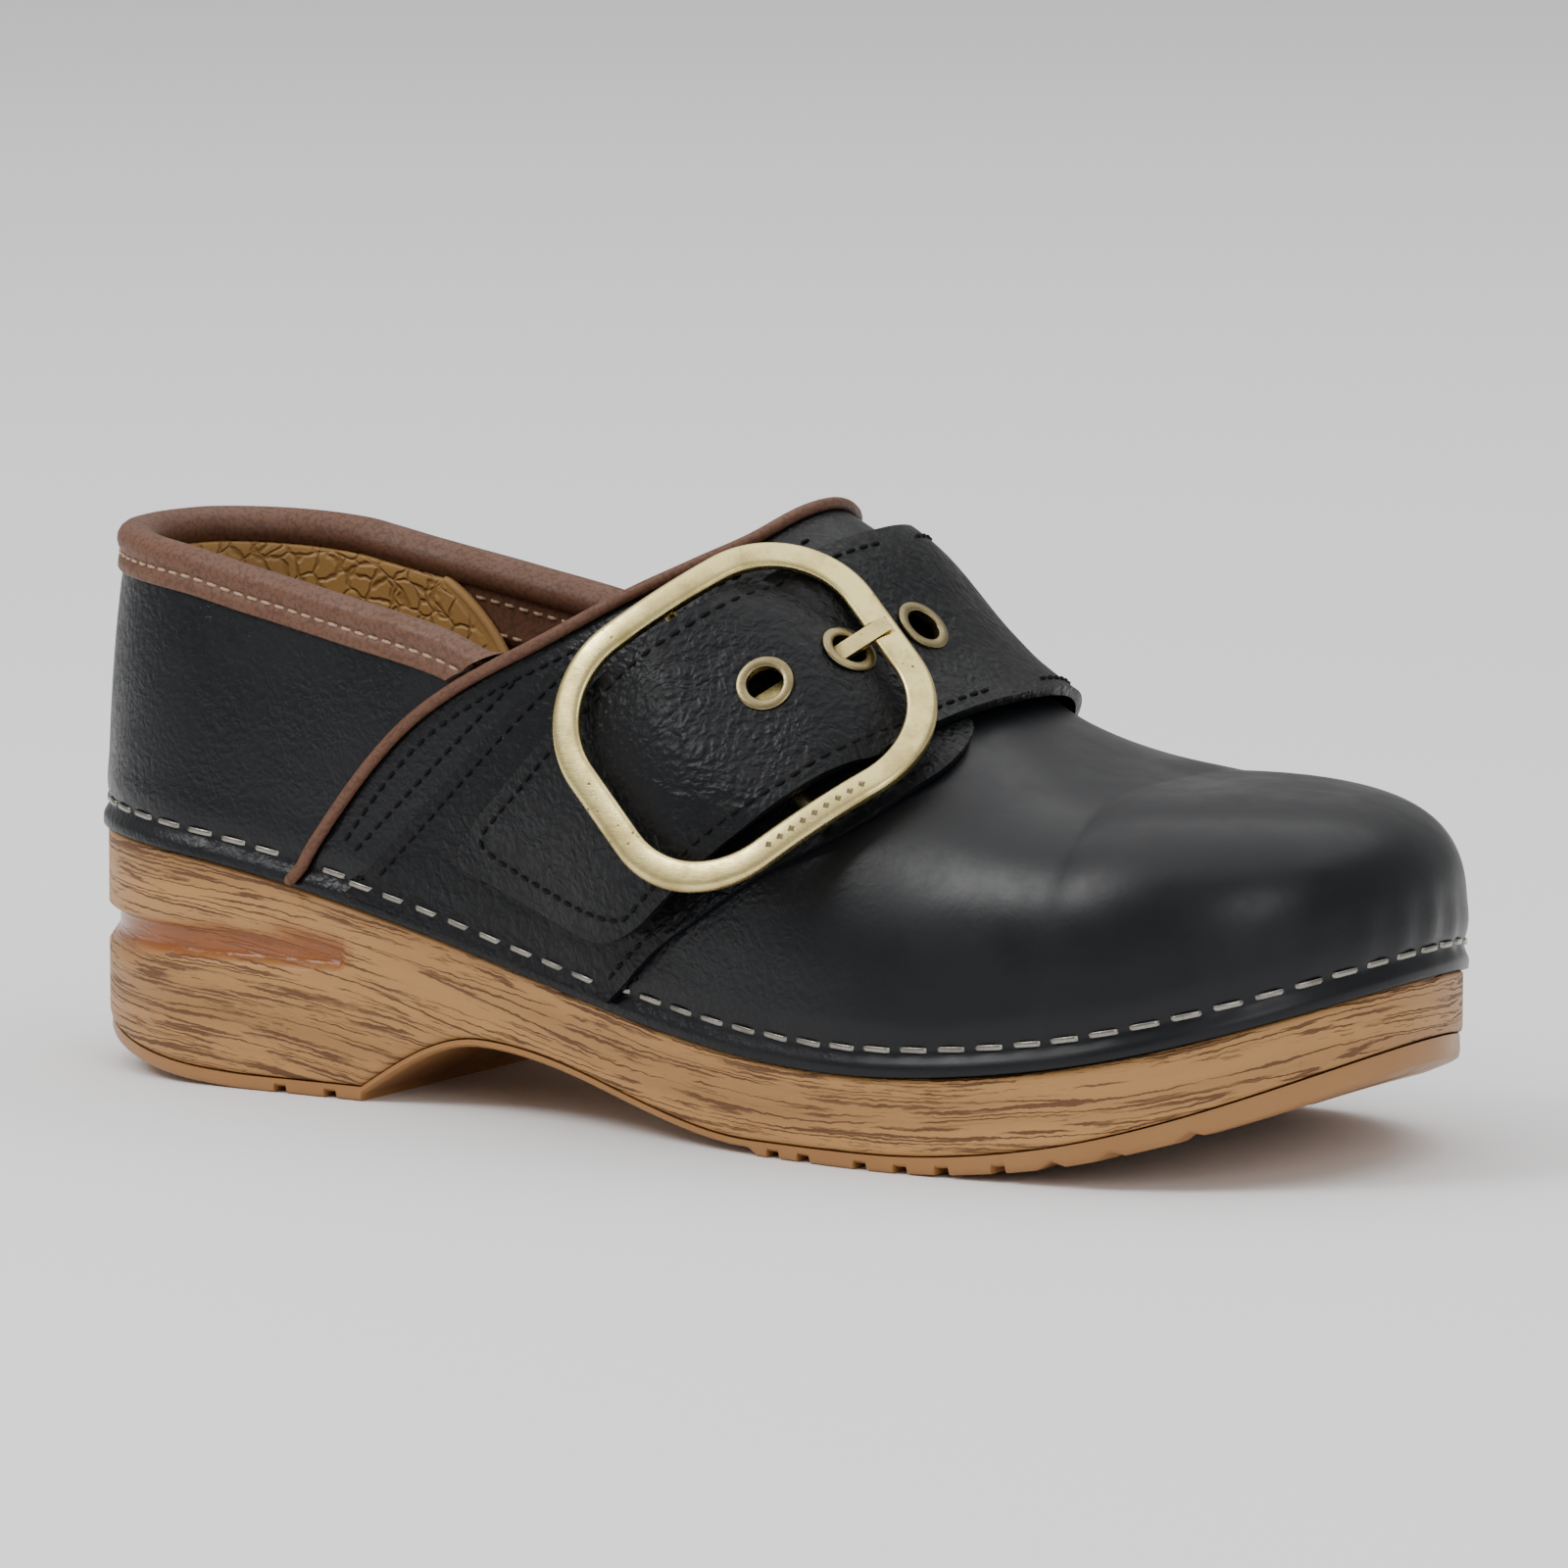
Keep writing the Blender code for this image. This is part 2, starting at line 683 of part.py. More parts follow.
def build_sole(builder):
    """The sole body, one loft from the underside's spine round the wall to the top's spine."""
    places = outline_places(side_stations())

    def top(x):
        return seat_height(x) - SEAT_GAP

    rings = [ring(places, sole_bottom, share=share) for share in (0, 0.5, 0.8)]
    rings.append(ring(places, sole_bottom, reach_change=-BOTTOM_CHAMFER))
    rings.append(ring(places, lambda x: sole_bottom(x) + BOTTOM_CHAMFER))
    half = GROOVE_WIDTH / 2
    for height, depth in ((GROOVE_HEIGHT - half, 0), (GROOVE_HEIGHT - 0.5 * half, GROOVE_DEPTH),
                          (GROOVE_HEIGHT + 0.5 * half, GROOVE_DEPTH), (GROOVE_HEIGHT + half, 0)):
        rings.append(groove_ring(places, height, depth))
    rings.append(ring(places, top))
    rings += [ring(places, top, share=share) for share in (0.5, 0)]
    builder.piece("sole_body", solid_from_rings("sole_body", rings), WOOD_TAN)


def build_outsole(builder):
    """The walking sole: heel pad, forefoot pad and the thin lip under the arch, with cuts across."""
    places = outline_places(side_stations())

    def top(x):
        return sole_bottom(x) - TREAD_GAP

    rings = [ring(places, top, share=share) for share in (0, 0.5, 0.8)]
    rings.append(ring(places, top, reach_change=-TREAD_INSET))
    rings.append(ring(places, tread_bottom, reach_change=-TREAD_INSET - TREAD_CHAMFER))
    rings += [ring(places, tread_bottom, share=share) for share in (0.8, 0.5, 0)]
    outsole = builder.piece("outsole", solid_from_rings("outsole", rings), RUBBER_TAN)
    for number, station in enumerate(HEEL_TREAD_CUTS + FORE_TREAD_CUTS):
        x = station * SOLE_LENGTH
        depth = tread_rise(x) + TREAD_CUT_DEPTH
        size = (TREAD_CUT_WIDTH, 3 * BALL_HALF_WIDTH, 2 * depth)
        cutter = builder.cutter(f"tread_cut_{number}", box_mesh("tread_cut", size, (x, 0, 0)))
        cut(outsole, cutter)


def build_inner_frame(builder):
    """The stiff tray that the upper is stapled to: a floor with a rim all round."""
    places = outline_places(side_stations())

    def floor(x):
        return seat_height(x) + FRAME_FLOOR

    def rim_ring(reach_change):
        points = []
        for place in places:
            point = outline(place, reach_change)
            point.z = seat_of(place) + RIM_HEIGHT
            points.append(point)
        return points

    inside = -RIM_OUTSIDE - RIM_THICKNESS
    rings = [ring(places, seat_height, -RIM_OUTSIDE, share) for share in (0, 0.5, 1)]
    rings.append(rim_ring(-RIM_OUTSIDE))
    rings.append(rim_ring(inside))
    rings += [ring(places, floor, inside, share) for share in (1, 0.5, 0)]
    builder.piece("inner_frame", solid_from_rings("inner_frame", rings), FRAME_GREY)


def build_insole(builder, name, bottom, thickness, finish):
    """A layer that lies in the tray."""
    places = outline_places(side_stations())
    reach_change = -RIM_OUTSIDE - RIM_THICKNESS - 2 * SHEET_GAP
    rings = [ring(places, lambda x: seat_height(x) + bottom, reach_change, share) for share in (0, 0.5, 1)]
    rings += [ring(places, lambda x: seat_height(x) + bottom + thickness, reach_change, share)
              for share in (1, 0.5, 0)]
    builder.piece(name, solid_from_rings(name, rings), finish)


# ---------------------------------------------------------------- upper


def rise_shares(low, high, power, steps=RISE_STEPS):
    """Rises that follow the section evenly round, from low to high."""
    first = math.asin(low ** (power / 2))
    last = math.asin(min(1.0, high) ** (power / 2))
    return [math.sin(first + (last - first) * i / steps) ** (2 / power) for i in range(steps + 1)]


def vamp_columns(inset):
    """Columns of (place, rise) pairs over the vamp, from one throat edge over the toe to the other."""
    columns = []
    for side in (-1, 1):
        half = []
        for i in range(SIDE_STEPS + 1):
            share = i / SIDE_STEPS
            column = []
            for turn in range(RISE_STEPS + 1):
                angle = math.pi / 2 * turn / RISE_STEPS
                edge = throat_x(math.sin(angle)) + inset
                x = edge + (TOE_CENTRE - edge) * share
                power = POWER_CURVE(x / SOLE_LENGTH)
                column.append((Place("side", x, side), math.sin(angle) ** (2 / power)))
            half.append(column)
        columns.append(half)
    lateral, medial = columns
    toe = []
    for angle in fan_angles(FAN_STEPS):
        place = Place("toe", angle, 0)
        power = form_at(place)[4]
        turns = [math.pi / 2 * turn / RISE_STEPS for turn in range(RISE_STEPS + 1)]
        toe.append([(place, math.sin(turn) ** (2 / power)) for turn in turns])
    return lateral + toe + list(reversed(medial))


def points_at(columns, offset):
    """Turn columns of places into rows of points at one offset."""
    return [[upper_point(place, rise, offset) for place, rise in column] for column in columns]


def build_vamp(builder):
    """The vamp, its toe puff, its lining and the two stays behind its throat edge."""
    sheet(builder, "vamp", points_at(vamp_columns(0.0), 0), UPPER_THICKNESS, False, LEATHER_BLACK)
    rows = points_at(vamp_columns(LINING_BEHIND_THROAT), VAMP_LINING_OUTSIDE)
    sheet(builder, "vamp_lining", rows, VAMP_LINING_THICKNESS, False, TEXTILE_BROWN)
    puff = []
    front = TOE_CENTRE - PUFF_BEHIND_TOE
    for place in ([Place("side", front, -1)] + [Place("toe", a, 0) for a in fan_angles(FAN_STEPS, False)]
                  + [Place("side", front, 1)]):
        power = form_at(place)[4]
        puff.append([(place, rise) for rise in rise_shares(*PUFF_RISES, power)])
    sheet(builder, "toe_puff", points_at(puff, INTERLAYER_OUTSIDE), INTERLAYER_THICKNESS, False, FOAM_CREAM)
    for side, name in ((-1, "throat_stay_lateral"), (1, "throat_stay_medial")):
        columns = []
        for i in range(3):
            inset = STAY_BEHIND_EDGE + (STAY_WIDTH - STAY_BEHIND_EDGE) * i / 2
            rises = rise_shares(*STAY_RISES, 2.0, 2 * RISE_STEPS)
            columns.append([(Place("side", throat_x(rise) + inset, side), rise) for rise in rises])
        rows = points_at(columns, INTERLAYER_OUTSIDE)
        sheet(builder, name, rows, INTERLAYER_THICKNESS, False, LEATHER_BLACK)


def quarter_edge(share, drop, side, clearance):
    """Where the quarter meets the throat line, at a share of the height from the seat to its top edge."""
    def miss(x):
        place = Place("side", x, side)
        seat = seat_of(place)
        height = seat + share * (collar_top(x) - drop - seat)
        return x - throat_x(max(0.0, rise_at_height(place, height))) + clearance
    return solve_rising(miss, HEEL_CENTRE, INSTEP_TOP)


def quarter_columns(shares, drop, clearance):
    """Columns of (place, rise) pairs over the quarter, from one throat edge round the heel to the other."""
    def height_at(place, share):
        seat = seat_of(place)
        return seat + share * (collar_top(outline(place).x) - drop - seat)

    def side_half(side):
        half = []
        edges = [quarter_edge(share, drop, side, clearance) for share in shares]
        for i in range(9):
            column = []
            for share, edge in zip(shares, edges):
                x = edge + (HEEL_CENTRE - edge) * i / 8
                place = Place("side", x, side)
                column.append((place, rise_at_height(place, height_at(place, share))))
            half.append(column)
        return half

    heel = []
    for angle in fan_angles(FAN_STEPS):
        place = Place("heel", angle, 0)
        heel.append([(place, rise_at_height(place, height_at(place, share))) for share in shares])
    return side_half(-1) + heel + list(reversed(side_half(1)))


def build_quarter(builder):
    """The quarter round the heel, its lining and the heel cup inside it."""
    shares = [i / 7 for i in range(8)]
    outer = quarter_columns(shares, COLLAR_OVER_QUARTER, SEAM_GAP)
    sheet(builder, "quarter", points_at(outer, 0), UPPER_THICKNESS, False, LEATHER_BLACK)
    lining = quarter_columns(shares, COLLAR_DROP_INSIDE + LINING_BELOW_ROLL, LINING_CLEARANCE)
    rows = points_at(lining, INTERLAYER_OUTSIDE)
    sheet(builder, "quarter_lining", rows, INTERLAYER_THICKNESS, False, TEXTILE_BROWN)
    cup = []
    for side in (-1, 1):
        half = []
        for i in range(7):
            column = []
            for share in shares:
                edge = SOLE_LENGTH * (CUP_LOW_EDGE + (CUP_TOP_EDGE - CUP_LOW_EDGE) * share)
                x = edge + (HEEL_CENTRE - edge) * i / 6
                place = Place("side", x, side)
                low = seat_of(place) + RIM_HEIGHT + SHEET_GAP
                height = low + share * (collar_top(x) - COLLAR_DROP_INSIDE - CUP_BELOW_ROLL - low)
                column.append((place, rise_at_height(place, height)))
            half.append(column)
        cup.append(half)
    heel = []
    for angle in fan_angles(FAN_STEPS):
        place = Place("heel", angle, 0)
        low = seat_of(place) + RIM_HEIGHT + SHEET_GAP
        top = collar_top(outline(place).x) - COLLAR_DROP_INSIDE - CUP_BELOW_ROLL
        heel.append([(place, rise_at_height(place, low + share * (top - low))) for share in shares])
    columns = cup[0] + heel + list(reversed(cup[1]))
    sheet(builder, "heel_counter", points_at(columns, CUP_OUTSIDE), CUP_THICKNESS, False, CUP_TAN)


def build_collar(builder):
    """The binding that folds over the collar, and the foam under its roll."""
    def collar_line(drop, offset):
        columns = quarter_columns([1.0], drop, COLLAR_BEHIND_PIPING + PIPING_RADIUS)
        return [upper_point(place, rise, offset) for (place, rise), in columns]

    middle = (COLLAR_OUTSIDE + COLLAR_INSIDE) / 2
    half = (COLLAR_OUTSIDE - COLLAR_INSIDE) / 2
    rows = [collar_line(COLLAR_DROP_OUTSIDE, COLLAR_OUTSIDE), collar_line(5 * MM, COLLAR_OUTSIDE)]
    for turn in range(7):
        angle = math.pi * turn / 6
        drop = BINDING_THICKNESS + half * (1 - math.sin(angle))
        rows.append(collar_line(drop, middle + half * math.cos(angle)))
    rows.append(collar_line(COLLAR_DROP_INSIDE, COLLAR_INSIDE))
    mesh = grid_mesh("collar_binding", rows)

    def out_of_roll(point):
        x = min(TOE_CENTRE, max(HEEL_CENTRE, point.x))
        return Vector((0, 0, 1)) if point.z > collar_top(x) - 4 * MM else Vector((0, 0, 0))

    face_out(mesh, out_of_roll)
    smooth(mesh, 60)
    binding = builder.piece("collar_binding", mesh, LEATHER_BROWN)
    wall = binding.modifiers.new("wall", "SOLIDIFY")
    wall.thickness = BINDING_THICKNESS
    wall.offset = 1
    wall.use_even_offset = True
    line = collar_line(PADDING_DROP + PADDING_RADIUS, INTERLAYER_OUTSIDE - PADDING_RADIUS - 0.1 * MM)
    builder.piece("collar_padding", tube("collar_padding", line, PADDING_RADIUS), FOAM_CREAM)


def build_piping(builder):
    """The piping that covers the vamp's rear edge, from sole to sole over the throat."""
    rises = rise_shares(SEAT_CLEAR_RISE, 1.0, 2.0, 20)
    lift = PIPING_RADIUS + SHEET_GAP
    line = []
    for side, order in ((-1, rises), (1, list(reversed(rises))[1:])):
        for rise in order:
            place = Place("side", throat_x(rise) - 0.5 * SEAM_GAP, side)
            line.append(upper_point(place, rise, lift))
    builder.piece("vamp_binding", tube("vamp_binding", line, PIPING_RADIUS), LEATHER_BROWN)


# ---------------------------------------------------------------- buckle frame of reference


def buckle_matrix():
    """Where the buckle sits: X along the strap towards the instep, Y across it, Z out of the shoe."""
    place = Place("side", BUCKLE_STATION * SOLE_LENGTH, -1)
    normal = form_normal(place, BUCKLE_RISE)
    along = Vector((1, 0, -1)).normalized().cross(normal).normalized()
    if along.z < 0:
        along = -along
    across = normal.cross(along)
    base = Matrix((along, across, normal)).transposed()
    turned = base @ Matrix.Rotation(BUCKLE_PITCH, 3, "Y") @ Matrix.Rotation(BUCKLE_ROLL, 3, "X")
    origin = form_point(place, BUCKLE_RISE) + normal * BUCKLE_LIFT
    return Matrix.Translation(origin) @ turned.to_4x4()


BUCKLE = buckle_matrix()
BAR_AXIS = BUCKLE @ Matrix.Translation((0, 0, -BAR_DEPTH))


def along_strap(point):
    """Distance of a point from the buckle's bar, along the strap."""
    return (BUCKLE.inverted() @ point).x


# ---------------------------------------------------------------- strap and saddle


def strap_lift(place, rise):
    """Offset of the strap's inside: it climbs over the bar and dives under the buckle's end."""
    if place.side > 0:
        fade = smoothstep((1 - rise) / 0.2)
        return STRAP_REST_LIFT + (STRAP_MEDIAL_LIFT - STRAP_REST_LIFT) * fade
    base, normal = form_point(place, rise), form_normal(place, rise)
    if abs(along_strap(base)) > 2 * BUCKLE_HALF_LENGTH:
        return STRAP_REST_LIFT

    def above(lift):
        point = BUCKLE.inverted() @ (base + normal * lift)
        return point.z - strap_level(point.x, point.y)

    return max(STRAP_REST_LIFT, solve_rising(above, 0, BUCKLE_HALF_LENGTH))


def strap_level(u, v):
    """Height of the strap's inside in the buckle's frame: over the bar, and falling under the end bars."""
    edge = min(1.0, (v / (STRAP_WIDTH / 2)) ** 2)
    flats, drops, powers = ((STRAP_REAR_FLAT, STRAP_REAR_DROP, STRAP_REAR_POWER) if u < 0 else
                            (STRAP_FORE_FLAT, STRAP_FORE_DROP, STRAP_FORE_POWER))
    flat, drop, power = (middle + (side - middle) * edge for middle, side in (flats, drops, powers))
    reach = BUCKLE_HALF_LENGTH - FRAME_BAND / 2
    past = max(0.0, abs(u) - flat) / (reach - flat)
    return STRAP_OVER_BAR - BAR_DEPTH - drop * past ** power


def strap_cross(rise, across):
    """The plane of a strand of the strap: across runs from -1 at the rear edge to 1 at the toe side."""
    return STRAP_PLACE - STRAP_SWEEP * (1 - rise) + across * STRAP_WIDTH / 2 * math.sqrt(2)


def strap_point(across, rise, side, extra=0.0):
    """Point on the strap's inside, or above it by extra."""
    place = band_place(strap_cross(rise, across), rise, side)
    return upper_point(place, rise, strap_lift(place, rise) + extra)


def strap_rises(across):
    """Rises along a strand on the lateral side, from the rounded tip to the crest."""
    corner = 0.7
    past = max(0.0, (abs(across) - corner) / (1 - corner))
    tip = STRAP_TIP_RISE + STRAP_TIP_ROUND * (1 - math.sqrt(max(0.0, 1 - past * past)))
    shares = [0, 0.06, 0.13, 0.2, 0.27, 0.34, 0.41, 0.48, 0.54, 0.6, 0.66, 0.71, 0.75, 0.79, 0.83, 0.87,
              0.91, 0.955, 1.0]
    return [tip + (1 - tip) * share for share in shares]


def build_strap(builder):
    """The strap, from the medial seat over the instep and through the buckle to its rounded tip."""
    strands = []
    for i in range(11):
        across = math.sin(math.pi / 2 * (i / 5 - 1)) if i not in (0, 10) else (-1 if i == 0 else 1)
        strand = [strap_point(across, rise, -1) for rise in strap_rises(across)]
        medial = rise_shares(SEAT_CLEAR_RISE, 1.0, 2.4, 9)[:-1]
        strand += [strap_point(across, rise, 1) for rise in reversed(medial)]
        strands.append(strand)
    strap = sheet(builder, "strap", strands, STRAP_THICKNESS, True, LEATHER_BLACK)
    for number, distance in enumerate(EYELET_PLACES, 1):
        matrix = eyelet_matrix(distance)
        hole = EYELET_HOLE_RADIUS + EYELET_WALL + EYELET_GAP
        plug = cylinder_mesh("strap_hole", hole, 6 * STRAP_THICKNESS)
        cut(strap, builder.cutter(f"strap_hole_{number}", plug, None, matrix))
    far = along_strap(eyelet_matrix(None).translation)
    size = (far, PRONG_WIDTH + 2 * NOTCH_GAP, 4 * RELIEF_HEIGHT)
    centre = (far / 2, 0, PRONG_THICKNESS / 2 + RELIEF_HEIGHT - size[2] / 2)
    relief = box_mesh("prong_relief_cut", size, centre)
    cut(strap, builder.cutter("prong_relief_cut", relief, None, BAR_AXIS))


def eyelet_rise(distance):
    """Rise of an eyelet at a distance from the bar, or with none given, where the strap meets the prong."""
    def far(rise):
        return along_strap(strap_point(0, rise, -1, STRAP_THICKNESS)) - distance

    def low(rise):
        inside = BUCKLE.inverted() @ strap_point(0, rise, -1, EYELET_SLACK * STRAP_THICKNESS)
        return -BAR_DEPTH - PRONG_TIP_DROP / 2 - inside.z

    if distance is None:
        return solve_rising(low, BUCKLE_RISE, 0.99)
    return solve_rising(far, 0.3, 0.995)


def eyelet_matrix(distance):
    """Where an eyelet sits on the strap's outside."""
    rise = eyelet_rise(distance)
    step = 0.012
    top = STRAP_THICKNESS
    point = strap_point(0, rise, -1, top)
    above = strap_point(0, min(0.999, rise + step), -1, top)
    along = (above - strap_point(0, rise - step, -1, top)).normalized()
    across = (strap_point(0.15, rise, -1, top) - strap_point(-0.15, rise, -1, top)).normalized()
    normal = along.cross(across)
    if normal.dot(BUCKLE.to_3x3() @ Vector((0, 0, 1))) < 0:
        normal = -normal
    across = normal.cross(along).normalized()
    turn = Matrix((along, across, normal.normalized())).transposed().to_4x4()
    return Matrix.Translation(point) @ turn


def build_eyelets(builder):
    """Turned eyelets: a rolled flange over the strap and a barrel through it."""
    barrel = EYELET_HOLE_RADIUS + EYELET_WALL
    middle = (barrel + EYELET_RADIUS) / 2
    crown = (EYELET_RADIUS - barrel) / 3
    profile = ((EYELET_HOLE_RADIUS, EYELET_GAP + 0.5 * EYELET_HEIGHT),
               (middle - crown, EYELET_GAP + EYELET_HEIGHT),
               (middle + crown, EYELET_GAP + 0.9 * EYELET_HEIGHT),
               (EYELET_RADIUS, EYELET_GAP + 0.4 * EYELET_HEIGHT),
               (EYELET_RADIUS, EYELET_GAP), (barrel, EYELET_GAP), (barrel, -EYELET_BARREL),
               (EYELET_HOLE_RADIUS, -EYELET_BARREL))
    for number, distance in enumerate(EYELET_PLACES, 1):
        mesh = bpy.data.meshes.new("eyelet")
        shape = bmesh.new()
        corners = [shape.verts.new((radius, 0, height)) for radius, height in profile]
        for i, corner in enumerate(corners):
            shape.edges.new((corner, corners[(i + 1) % len(corners)]))
        shape.to_mesh(mesh)
        shape.free()
        made = builder.piece(f"eyelet_{number}", mesh, BRASS_DULL, None, eyelet_matrix(distance))
        turn = made.modifiers.new("turn", "SCREW")
        turn.steps = turn.render_steps = 18
        turn.use_merge_vertices = True
        turn.merge_threshold = 0.00001
        turn.use_normal_calculate = True


def build_saddle(builder):
    """The panel on the lateral side that carries the buckle, from the seat up to under the strap."""
    strands = []
    steps = 10
    for i in range(steps + 1):
        share = (1 - math.cos(math.pi * i / steps)) / 2
        past = max(0.0, abs(2 * share - 1) - 0.72) / 0.28
        top = SADDLE_TOP_RISE - SADDLE_CORNER * (1 - math.sqrt(max(0.0, 1 - past * past)))
        strand = []
        for rise in rise_shares(SEAT_CLEAR_RISE / 2, top, 2.2, 12):
            rear = SADDLE_REAR_CURVE(rise)
            cross = STRAP_PLACE + rear + (SADDLE_FRONT_CURVE(rise) - rear) * share
            strand.append(upper_point(band_place(cross, rise, -1), rise, SADDLE_LIFT))
        strands.append(strand)
    sheet(builder, "saddle_lateral", strands, SADDLE_THICKNESS, True, LEATHER_BLACK)


# ---------------------------------------------------------------- buckle


def buckle_outline(inset, corner_steps=9):
    """Points of a rounded rectangle in the buckle's plane, drawn in by an inset."""
    half_length = BUCKLE_HALF_LENGTH - inset
    half_width = BUCKLE_HALF_WIDTH - inset
    corner = BUCKLE_CORNER - inset
    points = []
    for quadrant, (along, across) in enumerate(((1, 1), (-1, 1), (-1, -1), (1, -1))):
        for i in range(corner_steps + 1):
            angle = math.pi / 2 * (quadrant + i / corner_steps)
            points.append((along * (half_length - corner) + corner * math.cos(angle),
                           across * (half_width - corner) + corner * math.sin(angle)))
        if along == across:
            straight = half_length - corner
            points += [(along * straight * share, across * half_width) for share in (0.5, 0, -0.5)]
    return points


def bend(u, v):
    """Lay a point of the buckle's plane on its bend, counted from the bar's axis."""
    return Vector((u, v, BAR_DEPTH - u * u / (2 * BUCKLE_BEND)))


def build_buckle(builder):
    """The buckle's frame and bar on one pivot, and the prong on another at the same bar."""
    pivot = builder.empty("buckle_pivot", BAR_AXIS, builder.origin)
    rounding = FRAME_ROUNDING
    half_band = FRAME_BAND / 2
    half_thick = FRAME_THICKNESS / 2
    section = ((half_band, half_thick - rounding), (half_band - rounding, half_thick),
               (-half_band + rounding, half_thick), (-half_band, half_thick - rounding),
               (-half_band, -half_thick + rounding), (-half_band + rounding, -half_thick),
               (half_band - rounding, -half_thick), (half_band, -half_thick + rounding))
    rows = []
    for offset, height in section:
        row = []
        for u, v in buckle_outline(half_band - offset):
            point = bend(u, v)
            point.z += height
            row.append(point)
        rows.append(row)
    mesh = grid_mesh("buckle_frame", rows + [rows[0]], closed=True)
    shape = bmesh.new()
    shape.from_mesh(mesh)
    bmesh.ops.recalc_face_normals(shape, faces=shape.faces)
    shape.to_mesh(mesh)
    shape.free()
    smooth(mesh)
    frame = builder.piece("buckle_frame", mesh, BRASS, pivot)
    bar_length = 2 * (BUCKLE_HALF_WIDTH - BAR_INSET)
    bar = cylinder_mesh("buckle_bar", BAR_RADIUS, bar_length, 16)
    builder.piece("buckle_bar", bar, BRASS_DULL, pivot, Matrix.Rotation(math.pi / 2, 4, "X"))

    prong_pivot = builder.empty("prong_pivot", Matrix.Identity(4), pivot)
    inner = BAR_RADIUS + PRONG_HOOK_GAP
    outer = inner + PRONG_HOOK_WALL
    half = PRONG_THICKNESS / 2
    tip = BUCKLE_HALF_LENGTH - PRONG_TIP_INSET
    low, high = -PRONG_TIP_DROP - half, -PRONG_TIP_DROP + half
    start = math.asin(half / outer)
    end = math.radians(195)
    turns = [start + (end - start) * i / 8 for i in range(8, -1, -1)]
    points = [(outer * math.cos(turn), outer * math.sin(turn)) for turn in turns]
    points += [(tip - half, high), (tip, -PRONG_TIP_DROP), (tip - half, low)]
    start = -math.asin(half / inner)
    turns = [start + (end - start) * i / 8 for i in range(9)]
    points += [(inner * math.cos(turn), inner * math.sin(turn)) for turn in turns]
    curve = bpy.data.curves.new("buckle_prong", "CURVE")
    curve.dimensions = "2D"
    curve.fill_mode = "BOTH"
    curve.extrude = PRONG_WIDTH / 2
    spline = curve.splines.new("POLY")
    spline.points.add(len(points) - 1)
    for slot, (u, w) in zip(spline.points, points):
        slot.co = (u, w, 0, 1)
    spline.use_cyclic_u = True
    builder.piece("buckle_prong", curve, BRASS, prong_pivot, Matrix.Rotation(math.pi / 2, 4, "X"))

    notch_floor = low - NOTCH_GAP
    notch_start = BUCKLE_HALF_LENGTH - FRAME_BAND - 1 * MM
    notch_end = tip + NOTCH_GAP
    size = (notch_end - notch_start, PRONG_WIDTH + 2 * NOTCH_GAP, 8 * MM)
    centre = ((notch_start + notch_end) / 2, 0, notch_floor + size[2] / 2)
    cut(frame, builder.cutter("prong_notch_cut", box_mesh("prong_notch_cut", size, centre), pivot))


def surface_below(u, v):
    """Point of the upper and its normal under a place in the buckle's plane."""
    x, rise = BUCKLE_STATION * SOLE_LENGTH, BUCKLE_RISE
    inverse = BUCKLE.inverted()
    step_x, step_rise = 0.5 * MM, 0.005
    for _ in range(8):
        here = inverse @ form_point(Place("side", x, -1), rise)
        ahead = inverse @ form_point(Place("side", x + step_x, -1), rise)
        above = inverse @ form_point(Place("side", x, -1), rise + step_rise)
        a, b = (ahead.x - here.x) / step_x, (above.x - here.x) / step_rise
        c, d = (ahead.y - here.y) / step_x, (above.y - here.y) / step_rise
        miss_u, miss_v = u - here.x, v - here.y
        x += (d * miss_u - b * miss_v) / (a * d - b * c)
        rise += (a * miss_v - c * miss_u) / (a * d - b * c)
    place = Place("side", x, -1)
    return form_point(place, rise), form_normal(place, rise)


def keeper_foot(u, v):
    """Point where a keeper lies on the saddle."""
    point, normal = surface_below(u, v)
    return point + normal * KEEPER_LIFT


def build_keepers(builder):
    """Two leather loops, one each side of the prong, that hold the bar on the saddle."""
    around = BAR_RADIUS + KEEPER_GAP
    flange = (KEEPER_REACH, KEEPER_BEND * KEEPER_REACH)
    for sign, name in ((-1, "bar_keeper_front"), (1, "bar_keeper_rear")):
        rows = []
        for i in range(4):
            v = sign * (KEEPER_NEAR + (KEEPER_FAR - KEEPER_NEAR) * i / 3)
            row = [keeper_foot(-u, v) for u in flange]
            for turn in range(7):
                angle = math.pi * (1 - turn / 6)
                row.append(BAR_AXIS @ Vector((around * math.cos(angle), v, around * math.sin(angle))))
            row += [keeper_foot(u, v) for u in reversed(flange)]
            rows.append(row)
        sheet(builder, name, rows, KEEPER_THICKNESS, True, LEATHER_BLACK)


# ---------------------------------------------------------------- staples


def outline_lengths(places):
    """Lengths along the outline to each place, and the whole length."""
    points = [outline(place) for place in places]
    lengths = [0.0]
    for before, after in zip(points, points[1:] + points[:1]):
        lengths.append(lengths[-1] + (after - before).length)
    return lengths


def staple_offset(place):
    """Offset of the leather that a staple crosses: the saddle and the strap's end lie over the upper."""
    if place.zone != "side":
        return 0.0
    cross = place.value - seat_of(place) - STRAP_PLACE
    if place.side < 0 and SADDLE_REAR[0][1] - STAPLE_MARGIN < cross < SADDLE_FRONT[0][1] + STAPLE_MARGIN:
        return SADDLE_LIFT + SADDLE_THICKNESS
    if place.side > 0 and abs(cross + STRAP_SWEEP) < STRAP_WIDTH / 2 * math.sqrt(2) + STAPLE_MARGIN:
        return STRAP_MEDIAL_LIFT + STRAP_THICKNESS
    return 0.0


